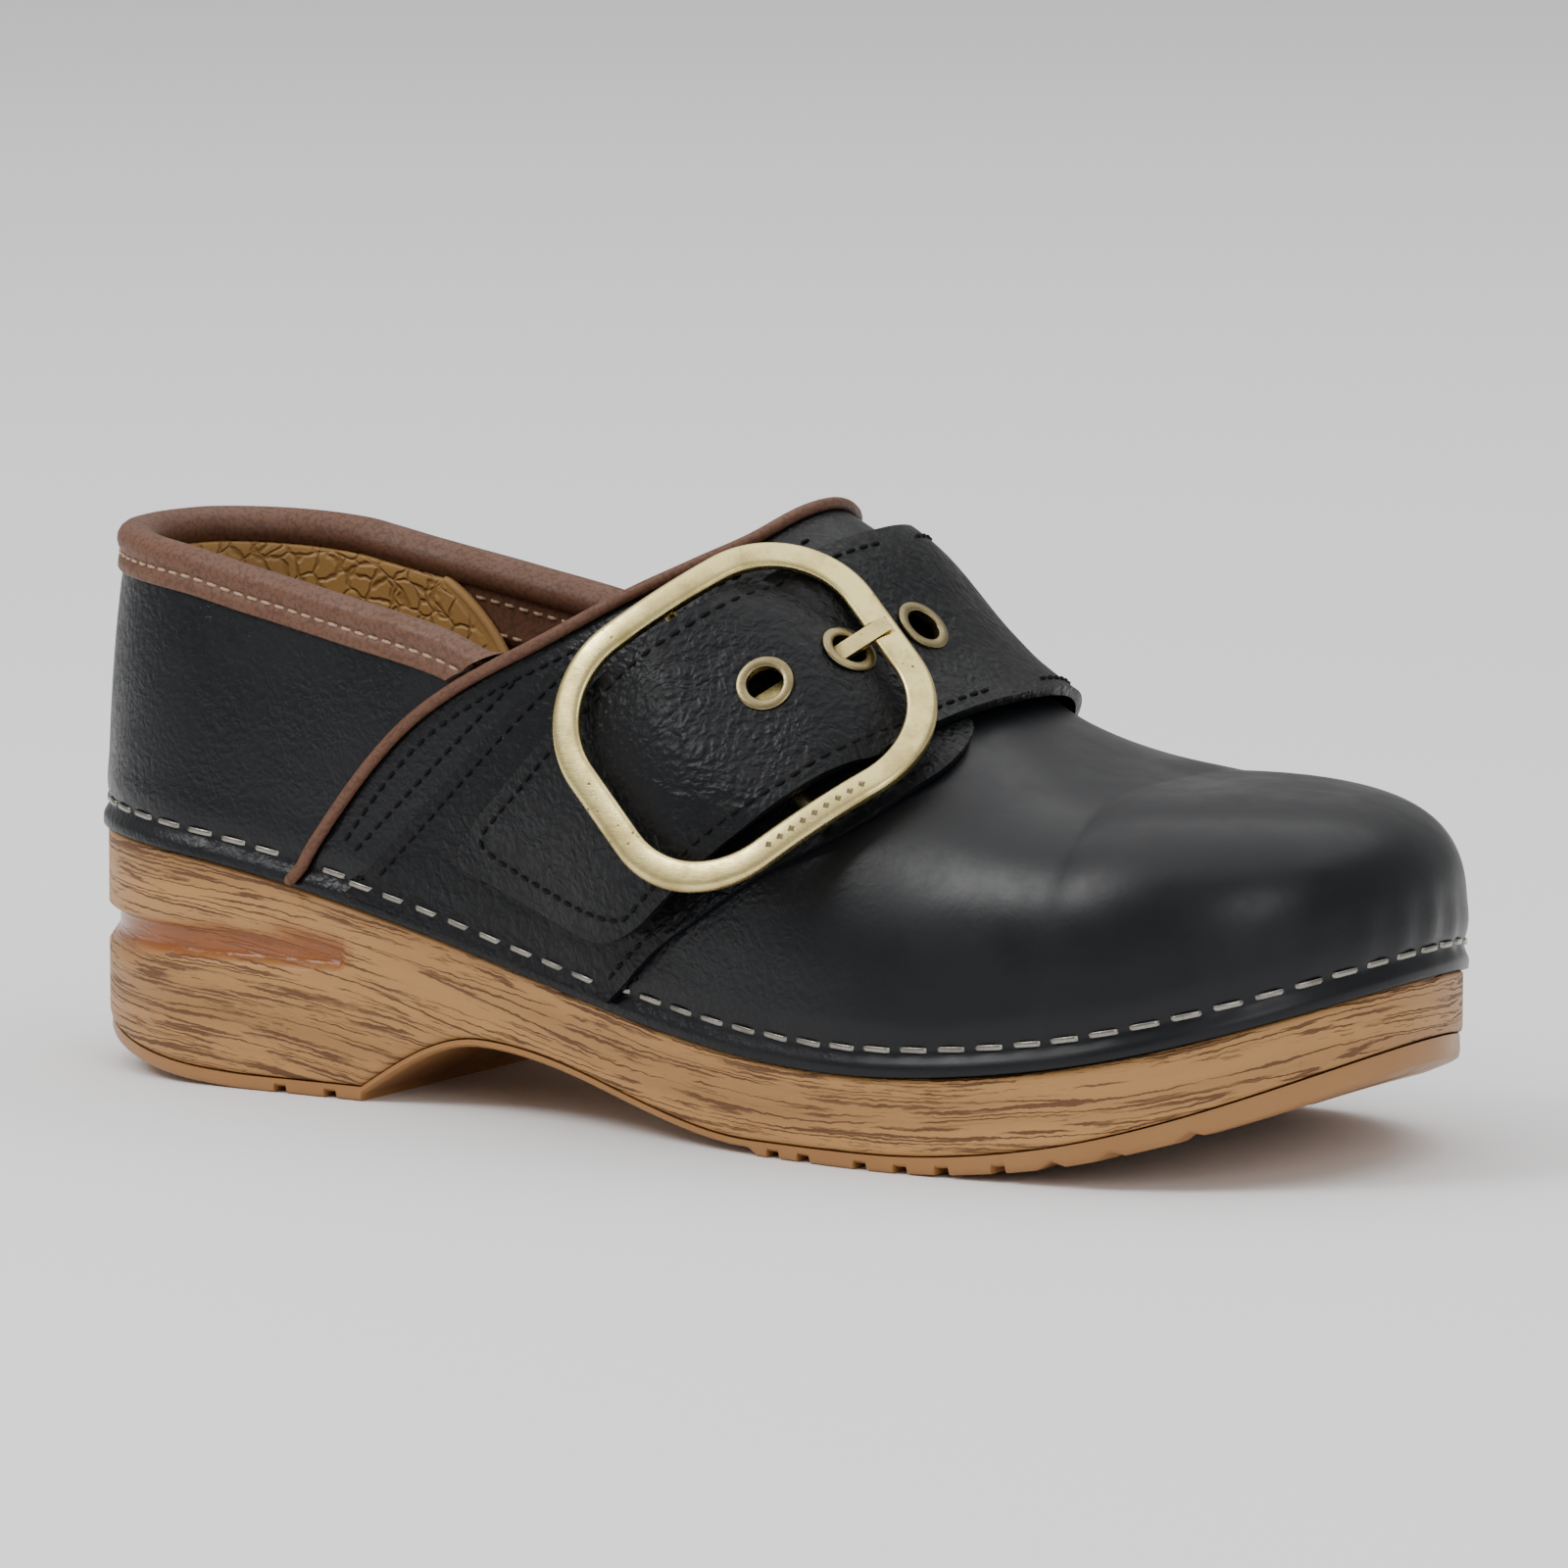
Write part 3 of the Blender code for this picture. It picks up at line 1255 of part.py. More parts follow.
def build_staples(builder):
    """The crowns of the staples that hold the upper's edge to the inner frame, evenly all round."""
    fine = [HEEL_CENTRE + (TOE_CENTRE - HEEL_CENTRE) * i / 120 for i in range(121)]
    places = [Place("side", x, -1) for x in fine]
    places += [Place("toe", a, 0) for a in fan_angles(60)]
    places += [Place("side", x, 1) for x in reversed(fine)]
    places += [Place("heel", a, 0) for a in reversed(fan_angles(60))]
    lengths = outline_lengths(places)
    crown = box_mesh("staple", (STAPLE_LENGTH, STAPLE_HEIGHT, STAPLE_THICKNESS))
    for number in range(STAPLE_COUNT):
        target = lengths[-1] * (number + 0.5) / STAPLE_COUNT
        nearest = min(range(len(places)), key=lambda i: abs(lengths[i] - target))
        place = places[nearest]
        rise = rise_at_height(place, seat_of(place) + STAPLE_RISE)
        lift = staple_offset(place) + STAPLE_GAP + STAPLE_THICKNESS / 2
        if place.zone == "side" and abs(place.value - throat_x(STAPLE_LINE_RISE)) < STAPLE_MARGIN:
            lift += 2 * PIPING_RADIUS
        before, after = places[nearest - 1], places[(nearest + 1) % len(places)]
        along = (outline(after) - outline(before)).normalized()
        along.z = (seat_of(after) - seat_of(before)) / (outline(after) - outline(before)).length
        along.normalize()
        normal = form_normal(place, rise)
        up = normal.cross(along).normalized()
        along = up.cross(normal).normalized()
        turn = Matrix((along, up, normal)).transposed().to_4x4()
        matrix = Matrix.Translation(upper_point(place, rise, lift)) @ turn
        builder.piece(f"staple_{number + 1:02d}", crown, STEEL, None, matrix)


# ---------------------------------------------------------------- whole shoe


def centre_on_base(builder):
    """Move the shoe so that the origin is under the middle of its box, on the ground."""
    bpy.context.view_layer.update()
    graph = bpy.context.evaluated_depsgraph_get()
    low = Vector((1, 1, 1)) * 1e9
    high = -low
    for item in builder.parts.objects:
        if item.type == "EMPTY":
            continue
        ready = item.evaluated_get(graph)
        mesh = ready.to_mesh()
        for vertex in mesh.vertices:
            point = ready.matrix_world @ vertex.co
            low = Vector(map(min, low, point))
            high = Vector(map(max, high, point))
        ready.to_mesh_clear()
    builder.origin.location = (-(low.x + high.x) / 2, -(low.y + high.y) / 2, -low.z)
    bpy.context.view_layer.update()


def main():
    """Build the clog."""
    clear_scene()
    builder = Builder()
    build_sole(builder)
    build_outsole(builder)
    build_inner_frame(builder)
    footbed_bottom = FRAME_FLOOR + FOOTBED_GAP
    build_insole(builder, "footbed", footbed_bottom, FOOTBED_THICKNESS, FOAM_CREAM)
    sock_bottom = footbed_bottom + FOOTBED_THICKNESS + SHEET_GAP
    build_insole(builder, "sock_lining", sock_bottom, SOCK_THICKNESS, LEATHER_BROWN)
    build_vamp(builder)
    build_quarter(builder)
    build_collar(builder)
    build_piping(builder)
    build_saddle(builder)
    build_keepers(builder)
    build_strap(builder)
    build_buckle(builder)
    build_eyelets(builder)
    build_staples(builder)
    centre_on_base(builder)


main()
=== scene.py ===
"""Looks of a closed-heel clog: wood-look sole, stapled black leather upper and a buckled instep strap.

Every shape is laid out in the shoe's own frame: X from the heel to the toe, Y to the medial side, Z up, with
the back of the heel near X = 0 and the tread on Z = 0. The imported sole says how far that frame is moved.
"""

import json
import logging
import math
from dataclasses import dataclass, field
from enum import Enum
from functools import cache
from typing import Callable, NamedTuple, Sequence

import bmesh
import bpy
from bpy.types import Material, Mesh, Node, NodeSocket, NodeTree, Object
from mathutils import Matrix, Vector

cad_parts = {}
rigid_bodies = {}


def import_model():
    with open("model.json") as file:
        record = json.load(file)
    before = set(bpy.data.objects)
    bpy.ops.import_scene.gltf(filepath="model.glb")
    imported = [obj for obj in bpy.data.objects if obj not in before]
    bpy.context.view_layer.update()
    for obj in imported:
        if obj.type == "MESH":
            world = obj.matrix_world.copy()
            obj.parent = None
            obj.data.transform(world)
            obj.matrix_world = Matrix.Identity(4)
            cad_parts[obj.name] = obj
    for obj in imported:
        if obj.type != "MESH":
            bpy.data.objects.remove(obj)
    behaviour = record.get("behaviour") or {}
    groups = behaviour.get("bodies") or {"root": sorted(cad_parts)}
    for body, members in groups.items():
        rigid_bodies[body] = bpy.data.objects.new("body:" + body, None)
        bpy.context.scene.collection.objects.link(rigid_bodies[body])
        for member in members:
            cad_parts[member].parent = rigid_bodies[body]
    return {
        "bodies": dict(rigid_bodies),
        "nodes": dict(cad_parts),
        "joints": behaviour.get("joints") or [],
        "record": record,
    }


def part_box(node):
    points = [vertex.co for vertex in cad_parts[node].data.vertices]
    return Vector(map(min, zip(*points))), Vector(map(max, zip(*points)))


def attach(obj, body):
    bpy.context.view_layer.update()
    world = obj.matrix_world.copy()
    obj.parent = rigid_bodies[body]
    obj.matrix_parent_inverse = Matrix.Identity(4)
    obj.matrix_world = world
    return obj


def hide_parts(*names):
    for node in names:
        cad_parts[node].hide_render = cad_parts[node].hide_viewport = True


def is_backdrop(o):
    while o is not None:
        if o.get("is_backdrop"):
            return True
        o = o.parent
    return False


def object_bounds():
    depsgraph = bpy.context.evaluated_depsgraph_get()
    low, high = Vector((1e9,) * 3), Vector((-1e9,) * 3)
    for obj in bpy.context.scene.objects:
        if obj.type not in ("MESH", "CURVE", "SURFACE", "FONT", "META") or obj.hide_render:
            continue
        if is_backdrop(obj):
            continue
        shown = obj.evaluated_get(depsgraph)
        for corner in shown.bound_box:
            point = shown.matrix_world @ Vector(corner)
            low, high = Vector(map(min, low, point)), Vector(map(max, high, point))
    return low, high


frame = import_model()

CAD_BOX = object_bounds()
MM = 0.001
LOG = logging.getLogger("clog")
Row = list[Vector]
Colour = tuple[float, float, float]


class Zone(Enum):
    """The three stretches of the sole's outline."""

    SIDE = "side"
    TOE = "toe"
    HEEL = "heel"


class Place(NamedTuple):
    """One place on the outline: a distance along a side, or an angle in the heel fan or the toe fan."""

    zone: Zone
    value: float
    side: int


class Body(Enum):
    """The rigid bodies that the pieces made here ride on."""

    SHOE = "shoe"
    BUCKLE = "buckle"


def ease(share: float) -> float:
    """Ease from 0 to 1.

    Args:
        share: How far along, which is held between 0 and 1.

    Returns:
        The eased share.
    """
    share = min(1.0, max(0.0, share))
    return share * share * (3 - 2 * share)


def bell(distance: float, width: float) -> float:
    """Smooth bump of height 1.

    Args:
        distance: Distance from the middle of the bump.
        width: Half-width where the bump has fallen to about a third.

    Returns:
        Height of the bump there.
    """
    return math.exp(-((distance / width) ** 2))


class SmoothCurve:
    """A curve that runs smoothly through its points and never overshoots them."""

    def __init__(self, points: Sequence[tuple[float, float]]) -> None:
        """Work out the slopes.

        Args:
            points: (x, y) pairs, with x rising.
        """
        self.xs = [point[0] for point in points]
        self.ys = [point[1] for point in points]
        rises = [(after[1] - before[1]) / (after[0] - before[0]) for before,
                 after in zip(points, points[1:])]
        self.slopes = [rises[0]]
        for before, after in zip(rises, rises[1:]):
            self.slopes.append(0.0 if before * after <= 0 else 2 * before * after / (before + after))
        self.slopes.append(rises[-1])

    def __call__(self, x: float) -> float:
        """Height of the curve.

        Args:
            x: Where to read it.

        Returns:
            The height there, level past both ends.
        """
        xs, ys = self.xs, self.ys
        if x <= xs[0]:
            return ys[0]
        if x >= xs[-1]:
            return ys[-1]
        i = max(k for k in range(len(xs) - 1) if xs[k] <= x)
        span = xs[i + 1] - xs[i]
        t = (x - xs[i]) / span
        return ((1 + 2 * t) * (1 - t) ** 2 * ys[i] + t * (1 - t) ** 2 * span * self.slopes[i]
                + t * t * (3 - 2 * t) * ys[i + 1] + t * t * (t - 1) * span * self.slopes[i + 1])


def solve_rising(function: Callable[[float], float], low: float, high: float, rounds: int = 26) -> float:
    """Find where a rising function crosses zero.

    Args:
        function: The function.
        low: A value below the crossing.
        high: A value above it.
        rounds: How many times the span is halved.

    Returns:
        The crossing.
    """
    for _ in range(rounds):
        middle = (low + high) / 2
        if function(middle) < 0:
            low = middle
        else:
            high = middle
    return (low + high) / 2


# ---------------------------------------------------------------- the shoe's form


@dataclass
class ShoeForm:
    """The surface that every layer of the shoe follows, and the lines drawn on it."""

    length: float = 262 * MM
    heel_radius: float = 34.5 * MM
    ball_half_width: float = 49 * MM
    toe_reach_tip: float = 48 * MM
    heel_seat: float = 43 * MM
    ball_seat: float = 16.2 * MM
    toe_seat: float = 33.2 * MM
    seat_fall_start: float = 0.02
    ball_station: float = 0.668
    tread: float = 2.7 * MM
    heel_kick: float = 8.5 * MM
    toe_spring: float = 18 * MM
    toe_tread_gain: float = 1.6 * MM
    heel_flat_start: float = 0.19
    heel_breast: float = 0.27
    arch_peak: float = 0.366
    arch_end: float = 0.6
    toe_spring_start: float = 0.7
    arch_height: float = 13.2 * MM
    instep_top: float = 104.6 * MM
    toe_top: float = 62.8 * MM
    toe_tip_power: float = 4.2
    heel_back_crest: float = 165 * MM
    waist_bulge: float = 3 * MM
    toe_bulge: float = 1 * MM
    collar_height: float = 53.5 * MM
    lateral_swell: SmoothCurve = SmoothCurve(((0.137, 0), (0.23, -0.02), (0.32, 0), (0.42, 0.18),
                                              (0.515, 0.5),
                                              (0.61, 0.82), (0.706, 1), (0.817, 0.89)))
    medial_swell: SmoothCurve = SmoothCurve(((0.137, 0), (0.23, -0.02), (0.32, -0.08), (0.42, 0),
                                             (0.515, 0.25),
                                             (0.61, 0.66), (0.706, 0.96), (0.817, 1.03)))
    crest_shape: SmoothCurve = SmoothCurve(((0.137, 1.70), (0.23, 1.85), (0.305, 1.80), (0.37, 1.61),
                                            (0.458, 1.32), (0.553, 1.0), (0.595, 0.842), (0.637, 0.543),
                                            (0.664, 0.376), (0.706, 0.20), (0.763, 0.067), (0.817, 0)))
    section_power: SmoothCurve = SmoothCurve(((0.57, 2.0), (0.706, 2.4), (0.763, 2.8), (0.817, 3.2)))
    collar_shape: SmoothCurve = SmoothCurve(((0.015, 1.0), (0.115, 0.962), (0.175, 0.907), (0.256, 0.832),
                                             (0.328, 0.763), (0.366, 0.70)))
    throat_line: SmoothCurve = SmoothCurve(((0, 0.218), (0.154, 0.2565), (0.291, 0.297), (0.432, 0.351),
                                            (0.576, 0.413), (0.746, 0.477), (0.84, 0.511), (0.933, 0.54),
                                            (1.0, 0.553)))

    def __post_init__(self) -> None:
        """Work out the fans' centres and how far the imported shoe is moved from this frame."""
        self.heel_centre = self.heel_radius + 1.5 * MM
        self.toe_centre = self.length - self.toe_reach_tip
        low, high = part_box("sole_body")
        widest = self.side_reach(self.toe_centre, 1)
        self.shift = Vector((low[0] - self.heel_centre + self.heel_radius, high[1] - widest, 0))

    def side_reach(self, x: float, side: int) -> float:
        """Half-width of the sole's outline.

        Args:
            x: Distance along the shoe.
            side: -1 on the lateral side, 1 on the medial side.

        Returns:
            The half-width on that side.
        """
        swell = (self.lateral_swell if side < 0 else self.medial_swell)(x / self.length)
        return self.heel_radius + (self.ball_half_width - self.heel_radius) * swell

    def toe_reach(self, angle: float) -> float:
        """Radius of the toe fan at an angle from straight ahead."""
        tip = math.cos(angle) ** 2
        return self.side_reach(self.toe_centre,
                               -1 if angle < 0 else 1) * (1 - tip) + self.toe_reach_tip * tip

    def seat_height(self, x: float) -> float:
        """Height of the sole's top edge at x."""
        start = self.seat_fall_start * self.length
        ball = self.ball_station * self.length
        height = self.heel_seat - (self.heel_seat - self.ball_seat) * ease((x - start) / (ball - start))
        if x > ball:
            height += (self.toe_seat - self.ball_seat) * ((x - ball) / (self.length - ball)) ** 2
        return height

    def tread_rise(self, x: float) -> float:
        """Height of the walking surface above the ground at x, without the arch."""
        heel_flat = self.heel_flat_start * self.length
        spring = self.toe_spring_start * self.length
        if x < heel_flat:
            return self.heel_kick * ((heel_flat - x) / heel_flat) ** 2
        if x > spring:
            return self.toe_spring * ((x - spring) / (self.length - spring)) ** 2
        return 0.0

    def sole_bottom(self, x: float) -> float:
        """Height of the underside of the sole body at x."""
        breast = self.heel_breast * self.length
        peak = self.arch_peak * self.length
        end = self.arch_end * self.length
        height = self.tread_rise(x) + self.tread
        height += self.toe_tread_gain * ease((x - end) / (self.length - end))
        if breast < x <= peak:
            turn = math.pi / 2 * (x - breast) / (peak - breast)
            height += (self.arch_height - self.tread) * math.sin(turn)
        elif peak < x < end:
            height += (self.arch_height - self.tread) * (1 - ease((x - peak) / (end - peak)))
        return height

    def crest_height(self, x: float) -> float:
        """Height of the upper's crest over the centre line at x."""
        return self.toe_top + (self.instep_top - self.toe_top) * self.crest_shape(x / self.length)

    def collar_top(self, x: float) -> float:
        """Height of the top of the collar at x."""
        return self.heel_seat + self.collar_height * self.collar_shape(x / self.length)

    def collar_of(self, place: Place) -> float:
        """Height of the top of the collar at a place."""
        return self.collar_top(self.outline(place).x)

    def throat_x(self, rise: float) -> float:
        """Where the vamp's rear edge is, at a share of the height from seat to crest."""
        return self.length * self.throat_line(rise)

    def form_at(self, place: Place) -> tuple[Vector, Vector, float, float, float]:
        """Section of the shoe at a place.

        Args:
            place: The place on the outline.

        Returns:
            Centre, direction outwards, reach, crest height and section power.
        """
        if place.zone is Zone.SIDE:
            return (Vector((place.value, 0, 0)), Vector((0, place.side, 0)),
                    self.side_reach(place.value, place.side), self.crest_height(place.value),
                    self.section_power(place.value / self.length))
        if place.zone is Zone.TOE:
            direction = Vector((math.cos(place.value), math.sin(place.value), 0))
            full = self.section_power.ys[-1]
            power = full + (self.toe_tip_power - full) * direction.x
            return Vector((self.toe_centre, 0,
                           0)), direction, self.toe_reach(place.value), self.toe_top, power
        direction = Vector((-math.cos(place.value), math.sin(place.value), 0))
        low = self.crest_height(self.heel_centre)
        crest = low + (self.heel_back_crest - low) * direction.x ** 2
        return Vector((self.heel_centre, 0,
                       0)), direction, self.heel_radius, crest, self.section_power.ys[0]

    def outline(self, place: Place, reach_change: float = 0.0, share: float = 1.0) -> Vector:
        """Point of the outline in plan.

        Args:
            place: The place on the outline.
            reach_change: How far outside the outline the point lies.
            share: Share of the reach, which draws the point in towards the spine.

        Returns:
            The point, at height 0.
        """
        centre, direction, reach, _, _ = self.form_at(place)
        return centre + direction * (reach + reach_change) * share

    def seat_of(self, place: Place) -> float:
        """Height of the seat at a place."""
        return self.seat_height(self.outline(place).x)

    def bulge_of(self, place: Place, rise: float) -> float:
        """How far the upper swells past the plain section at a rise."""
        swell = 4 * rise * (1 - rise)
        if place.zone is Zone.SIDE:
            along = min(1.0, max(0.0, (place.value / self.length - 0.2) / 0.56))
            return self.waist_bulge * swell * math.sin(math.pi * along)
        if place.zone is Zone.TOE:
            return self.toe_bulge * swell * max(0.0, math.cos(place.value))
        return 0.0

    def point(self, place: Place, rise: float) -> Vector:
        """Point on the outside of the upper at a share of the height from seat to crest."""
        centre, direction, reach, crest, power = self.form_at(place)
        seat = self.seat_of(place)
        rise = min(1.0, max(0.0, rise))
        out = reach * (1 - rise ** power) ** (1 / power) + self.bulge_of(place, rise)
        spot = centre + direction * out
        spot.z = seat + (crest - seat) * rise
        return spot

    def normal(self, place: Place, rise: float) -> Vector:
        """Outward normal of the upper at a place and a rise."""
        if rise > 0.998:
            x = self.toe_centre if place.zone is Zone.TOE else place.value
            fall = (self.crest_height(x + MM) - self.crest_height(x - MM)) / (2 * MM)
            return Vector((-fall, 0, 1)).normalized()
        step = 0.5 * MM if place.zone is Zone.SIDE else 0.01
        ahead = self.point(place._replace(value=place.value + step), rise)
        behind = self.point(place._replace(value=place.value - step), rise)
        low, high = max(0.0, rise - 0.01), min(0.998, rise + 0.01)
        normal = (ahead - behind).cross(self.point(place, high) - self.point(place, low)).normalized()
        direction = self.form_at(place)[1]
        outward = Vector((direction.x, direction.y, 0.6 * rise + 0.05))
        return normal if normal.dot(outward) > 0 else -normal

    def over_seat(self, place: Place, rise: float) -> float:
        """Height over the seat of a rise at a place."""
        return rise * (self.form_at(place)[3] - self.seat_of(place))

    def upper(self, place: Place, rise: float, offset: float) -> Vector:
        """Point at an offset outside the upper."""
        return self.point(place, rise) + self.normal(place, rise) * offset

    def rise_at(self, place: Place, height: float) -> float:
        """Share of the height from seat to crest that lies at a height."""
        seat = self.seat_of(place)
        return (height - seat) / (self.form_at(place)[3] - seat)

    def band(self, cross: float, rise: float, side: int) -> Place:
        """Place where x - z equals cross at a rise: such planes stand square to the instep."""
        found = solve_rising(lambda x: x - self.point(Place(Zone.SIDE, x, side), rise).z - cross,
                             self.heel_centre, self.toe_centre)
        return Place(Zone.SIDE, found, side)

    def fan(self, zone: Zone, steps: int) -> list[Place]:
        """Places of a fan from its lateral end to its medial end, without the ends."""
        return [Place(zone, math.pi * (i / steps - 0.5), 0) for i in range(1, steps)]

    def all_round(self, stations: Sequence[float], steps: int) -> list[Place]:
        """Places all round the outline: lateral side, toe, medial side, heel.

        Args:
            stations: Distances along each side.
            steps: Steps of each fan.

        Returns:
            The places in order.
        """
        places = [Place(Zone.SIDE, x, -1) for x in stations]
        places += self.fan(Zone.TOE, steps)
        places += [Place(Zone.SIDE, x, 1) for x in reversed(stations)]
        return places + list(reversed(self.fan(Zone.HEEL, steps)))

    def from_toe(self, place: Place) -> float:
        """Rough distance along the outline from the tip of the toe."""
        if place.zone is Zone.TOE:
            return abs(place.value) * self.toe_reach_tip
        turned = math.pi / 2 * self.toe_reach_tip
        if place.zone is Zone.SIDE:
            return turned + self.toe_centre - place.value
        round_heel = (math.pi / 2 - abs(place.value)) * self.heel_radius
        return turned + self.toe_centre - self.heel_centre + round_heel


FORM = ShoeForm()
STAPLE_PITCH = 7.0 * MM
STAPLE_RISE = 4.5 * MM


def margin(place: Place, height: float) -> float:
    """How the leather's lower edge flares out, is pressed in by the staples and puckers over the toe.

    Args:
        place: The place on the outline.
        height: Height above the seat.

    Returns:
        Extra offset outwards.
    """
    if height > 30 * MM:
        return 0.0
    along = FORM.from_toe(place)
    pinch = 0.5 + 0.5 * math.cos(2 * math.pi * along / STAPLE_PITCH)
    offset = 0.9 * MM * (1 - ease((height - 1.2 * MM) / (2.4 * MM)))
    offset -= (0.2 + 0.35 * pinch) * MM * bell(height - STAPLE_RISE, 1.0 * MM)
    offset += 0.25 * MM * bell(height - 8.5 * MM, 2.6 * MM)
    if place.zone is Zone.TOE:
        fold = math.cos(2 * math.pi * along / (1.37 * STAPLE_PITCH) + 0.8 * math.sin(along / (9 * MM)))
        offset += 0.22 * MM * fold * bell(height - 8 * MM, 5 * MM) * math.cos(place.value) ** 2
    return offset


def on_leather(place: Place, rise: float, offset: float) -> Vector:
    """Point at an offset from the leather, which follows its flared and pressed margin."""
    return FORM.upper(place, rise, offset + margin(place, FORM.over_seat(place, rise)))


# ---------------------------------------------------------------- node trees


class Graph:
    """A short way of adding nodes to one node tree."""

    def __init__(self, tree: NodeTree) -> None:
        """Keep the tree that nodes are added to."""
        self.tree = tree

    def node(self, kind: str, inputs: dict | None = None, **settings: object) -> Node:
        """Add a node.

        Args:
            kind: The node's type without its ShaderNode prefix.
            inputs: Input name or index to a value or an output socket.
            **settings: Attributes set on the node.

        Returns:
            The node.
        """
        made = self.tree.nodes.new(kind if kind.startswith("NodeGroup") else "ShaderNode" + kind)
        for name, value in settings.items():
            setattr(made, name, value)
        for key, value in (inputs or {}).items():
            self.plug(made.inputs[key], value)
        return made

    def plug(self, socket: NodeSocket, value: object) -> None:
        """Link a value's socket to an input, or set the input to the value."""
        if isinstance(value, NodeSocket):
            self.tree.links.new(value, socket)
        elif socket.type == "RGBA" and len(value) == 3:
            socket.default_value = (*value, 1)
        else:
            socket.default_value = value

    def feed(self, node: Node, **values: object) -> None:
        """Plug values into a node's inputs, named as the inputs with spaces as underscores."""
        for key, value in values.items():
            self.plug(node.inputs[key.replace("_", " ")], value)

    def math(self, operation: str, first: object, second: object = 0.0,
             clamp: bool = False) -> NodeSocket:
        """Combine two values and return the result's socket."""
        return self.node("Math", {0: first, 1: second}, operation=operation, use_clamp=clamp).outputs[0]

    def times(self, first: object, second: object, clamp: bool = False) -> NodeSocket:
        """Multiply two values."""
        return self.math("MULTIPLY", first, second, clamp)

    def plus(self, first: object, second: object, clamp: bool = False) -> NodeSocket:
        """Add two values."""
        return self.math("ADD", first, second, clamp)

    def minus(self, first: object, second: object, clamp: bool = False) -> NodeSocket:
        """Subtract the second value from the first."""
        return self.math("SUBTRACT", first, second, clamp)

    def shaken(self, vector: object, shake: object,
               reach: tuple[float, float, float]) -> NodeSocket:
        """A vector moved by a shake times a reach."""
        inputs = {0: shake, 1: reach, 2: vector}
        return self.node("VectorMath", inputs, operation="MULTIPLY_ADD").outputs[0]

    def span(self, value: object, low: float, high: float, to_low: float = 0.0,
             to_high: float = 1.0) -> NodeSocket:
        """Read a value between two limits as a share, clamped, and return its socket."""
        inputs = {"Value": value, "From Min": low, "From Max": high, "To Min": to_low, "To Max": to_high}
        return self.node("MapRange", inputs, interpolation_type="SMOOTHSTEP").outputs["Result"]

    def mix(self, share: object, first: object, second: object, blend: str = "MIX") -> NodeSocket:
        """Mix two colours and return the result's socket."""
        made = self.node("Mix", {0: share, 6: first, 7: second}, data_type="RGBA", blend_type=blend)
        return made.outputs[2]

    def noise(self, vector: object, scale: float, detail: float = 3.0, roughness: float = 0.5,
              distortion: float = 0.0) -> NodeSocket:
        """Noise between 0 and 1, as its value socket."""
        inputs = {"Vector": vector, "Scale": scale, "Detail": detail, "Roughness": roughness,
                  "Distortion": distortion}
        return self.node("TexNoise", inputs).outputs[0]

    def stretched(self, vector: object, scale: tuple[float, float, float]) -> NodeSocket:
        """A vector multiplied part by part."""
        return self.node("VectorMath", {0: vector, 1: scale}, operation="MULTIPLY").outputs[0]

    def group(self, tree: NodeTree, **values: object) -> Node:
        """Place a node group with its own values, named as its inputs with spaces as underscores."""
        made = self.tree.nodes.new("ShaderNodeGroup")
        made.node_tree = tree
        self.feed(made, **values)
        return made


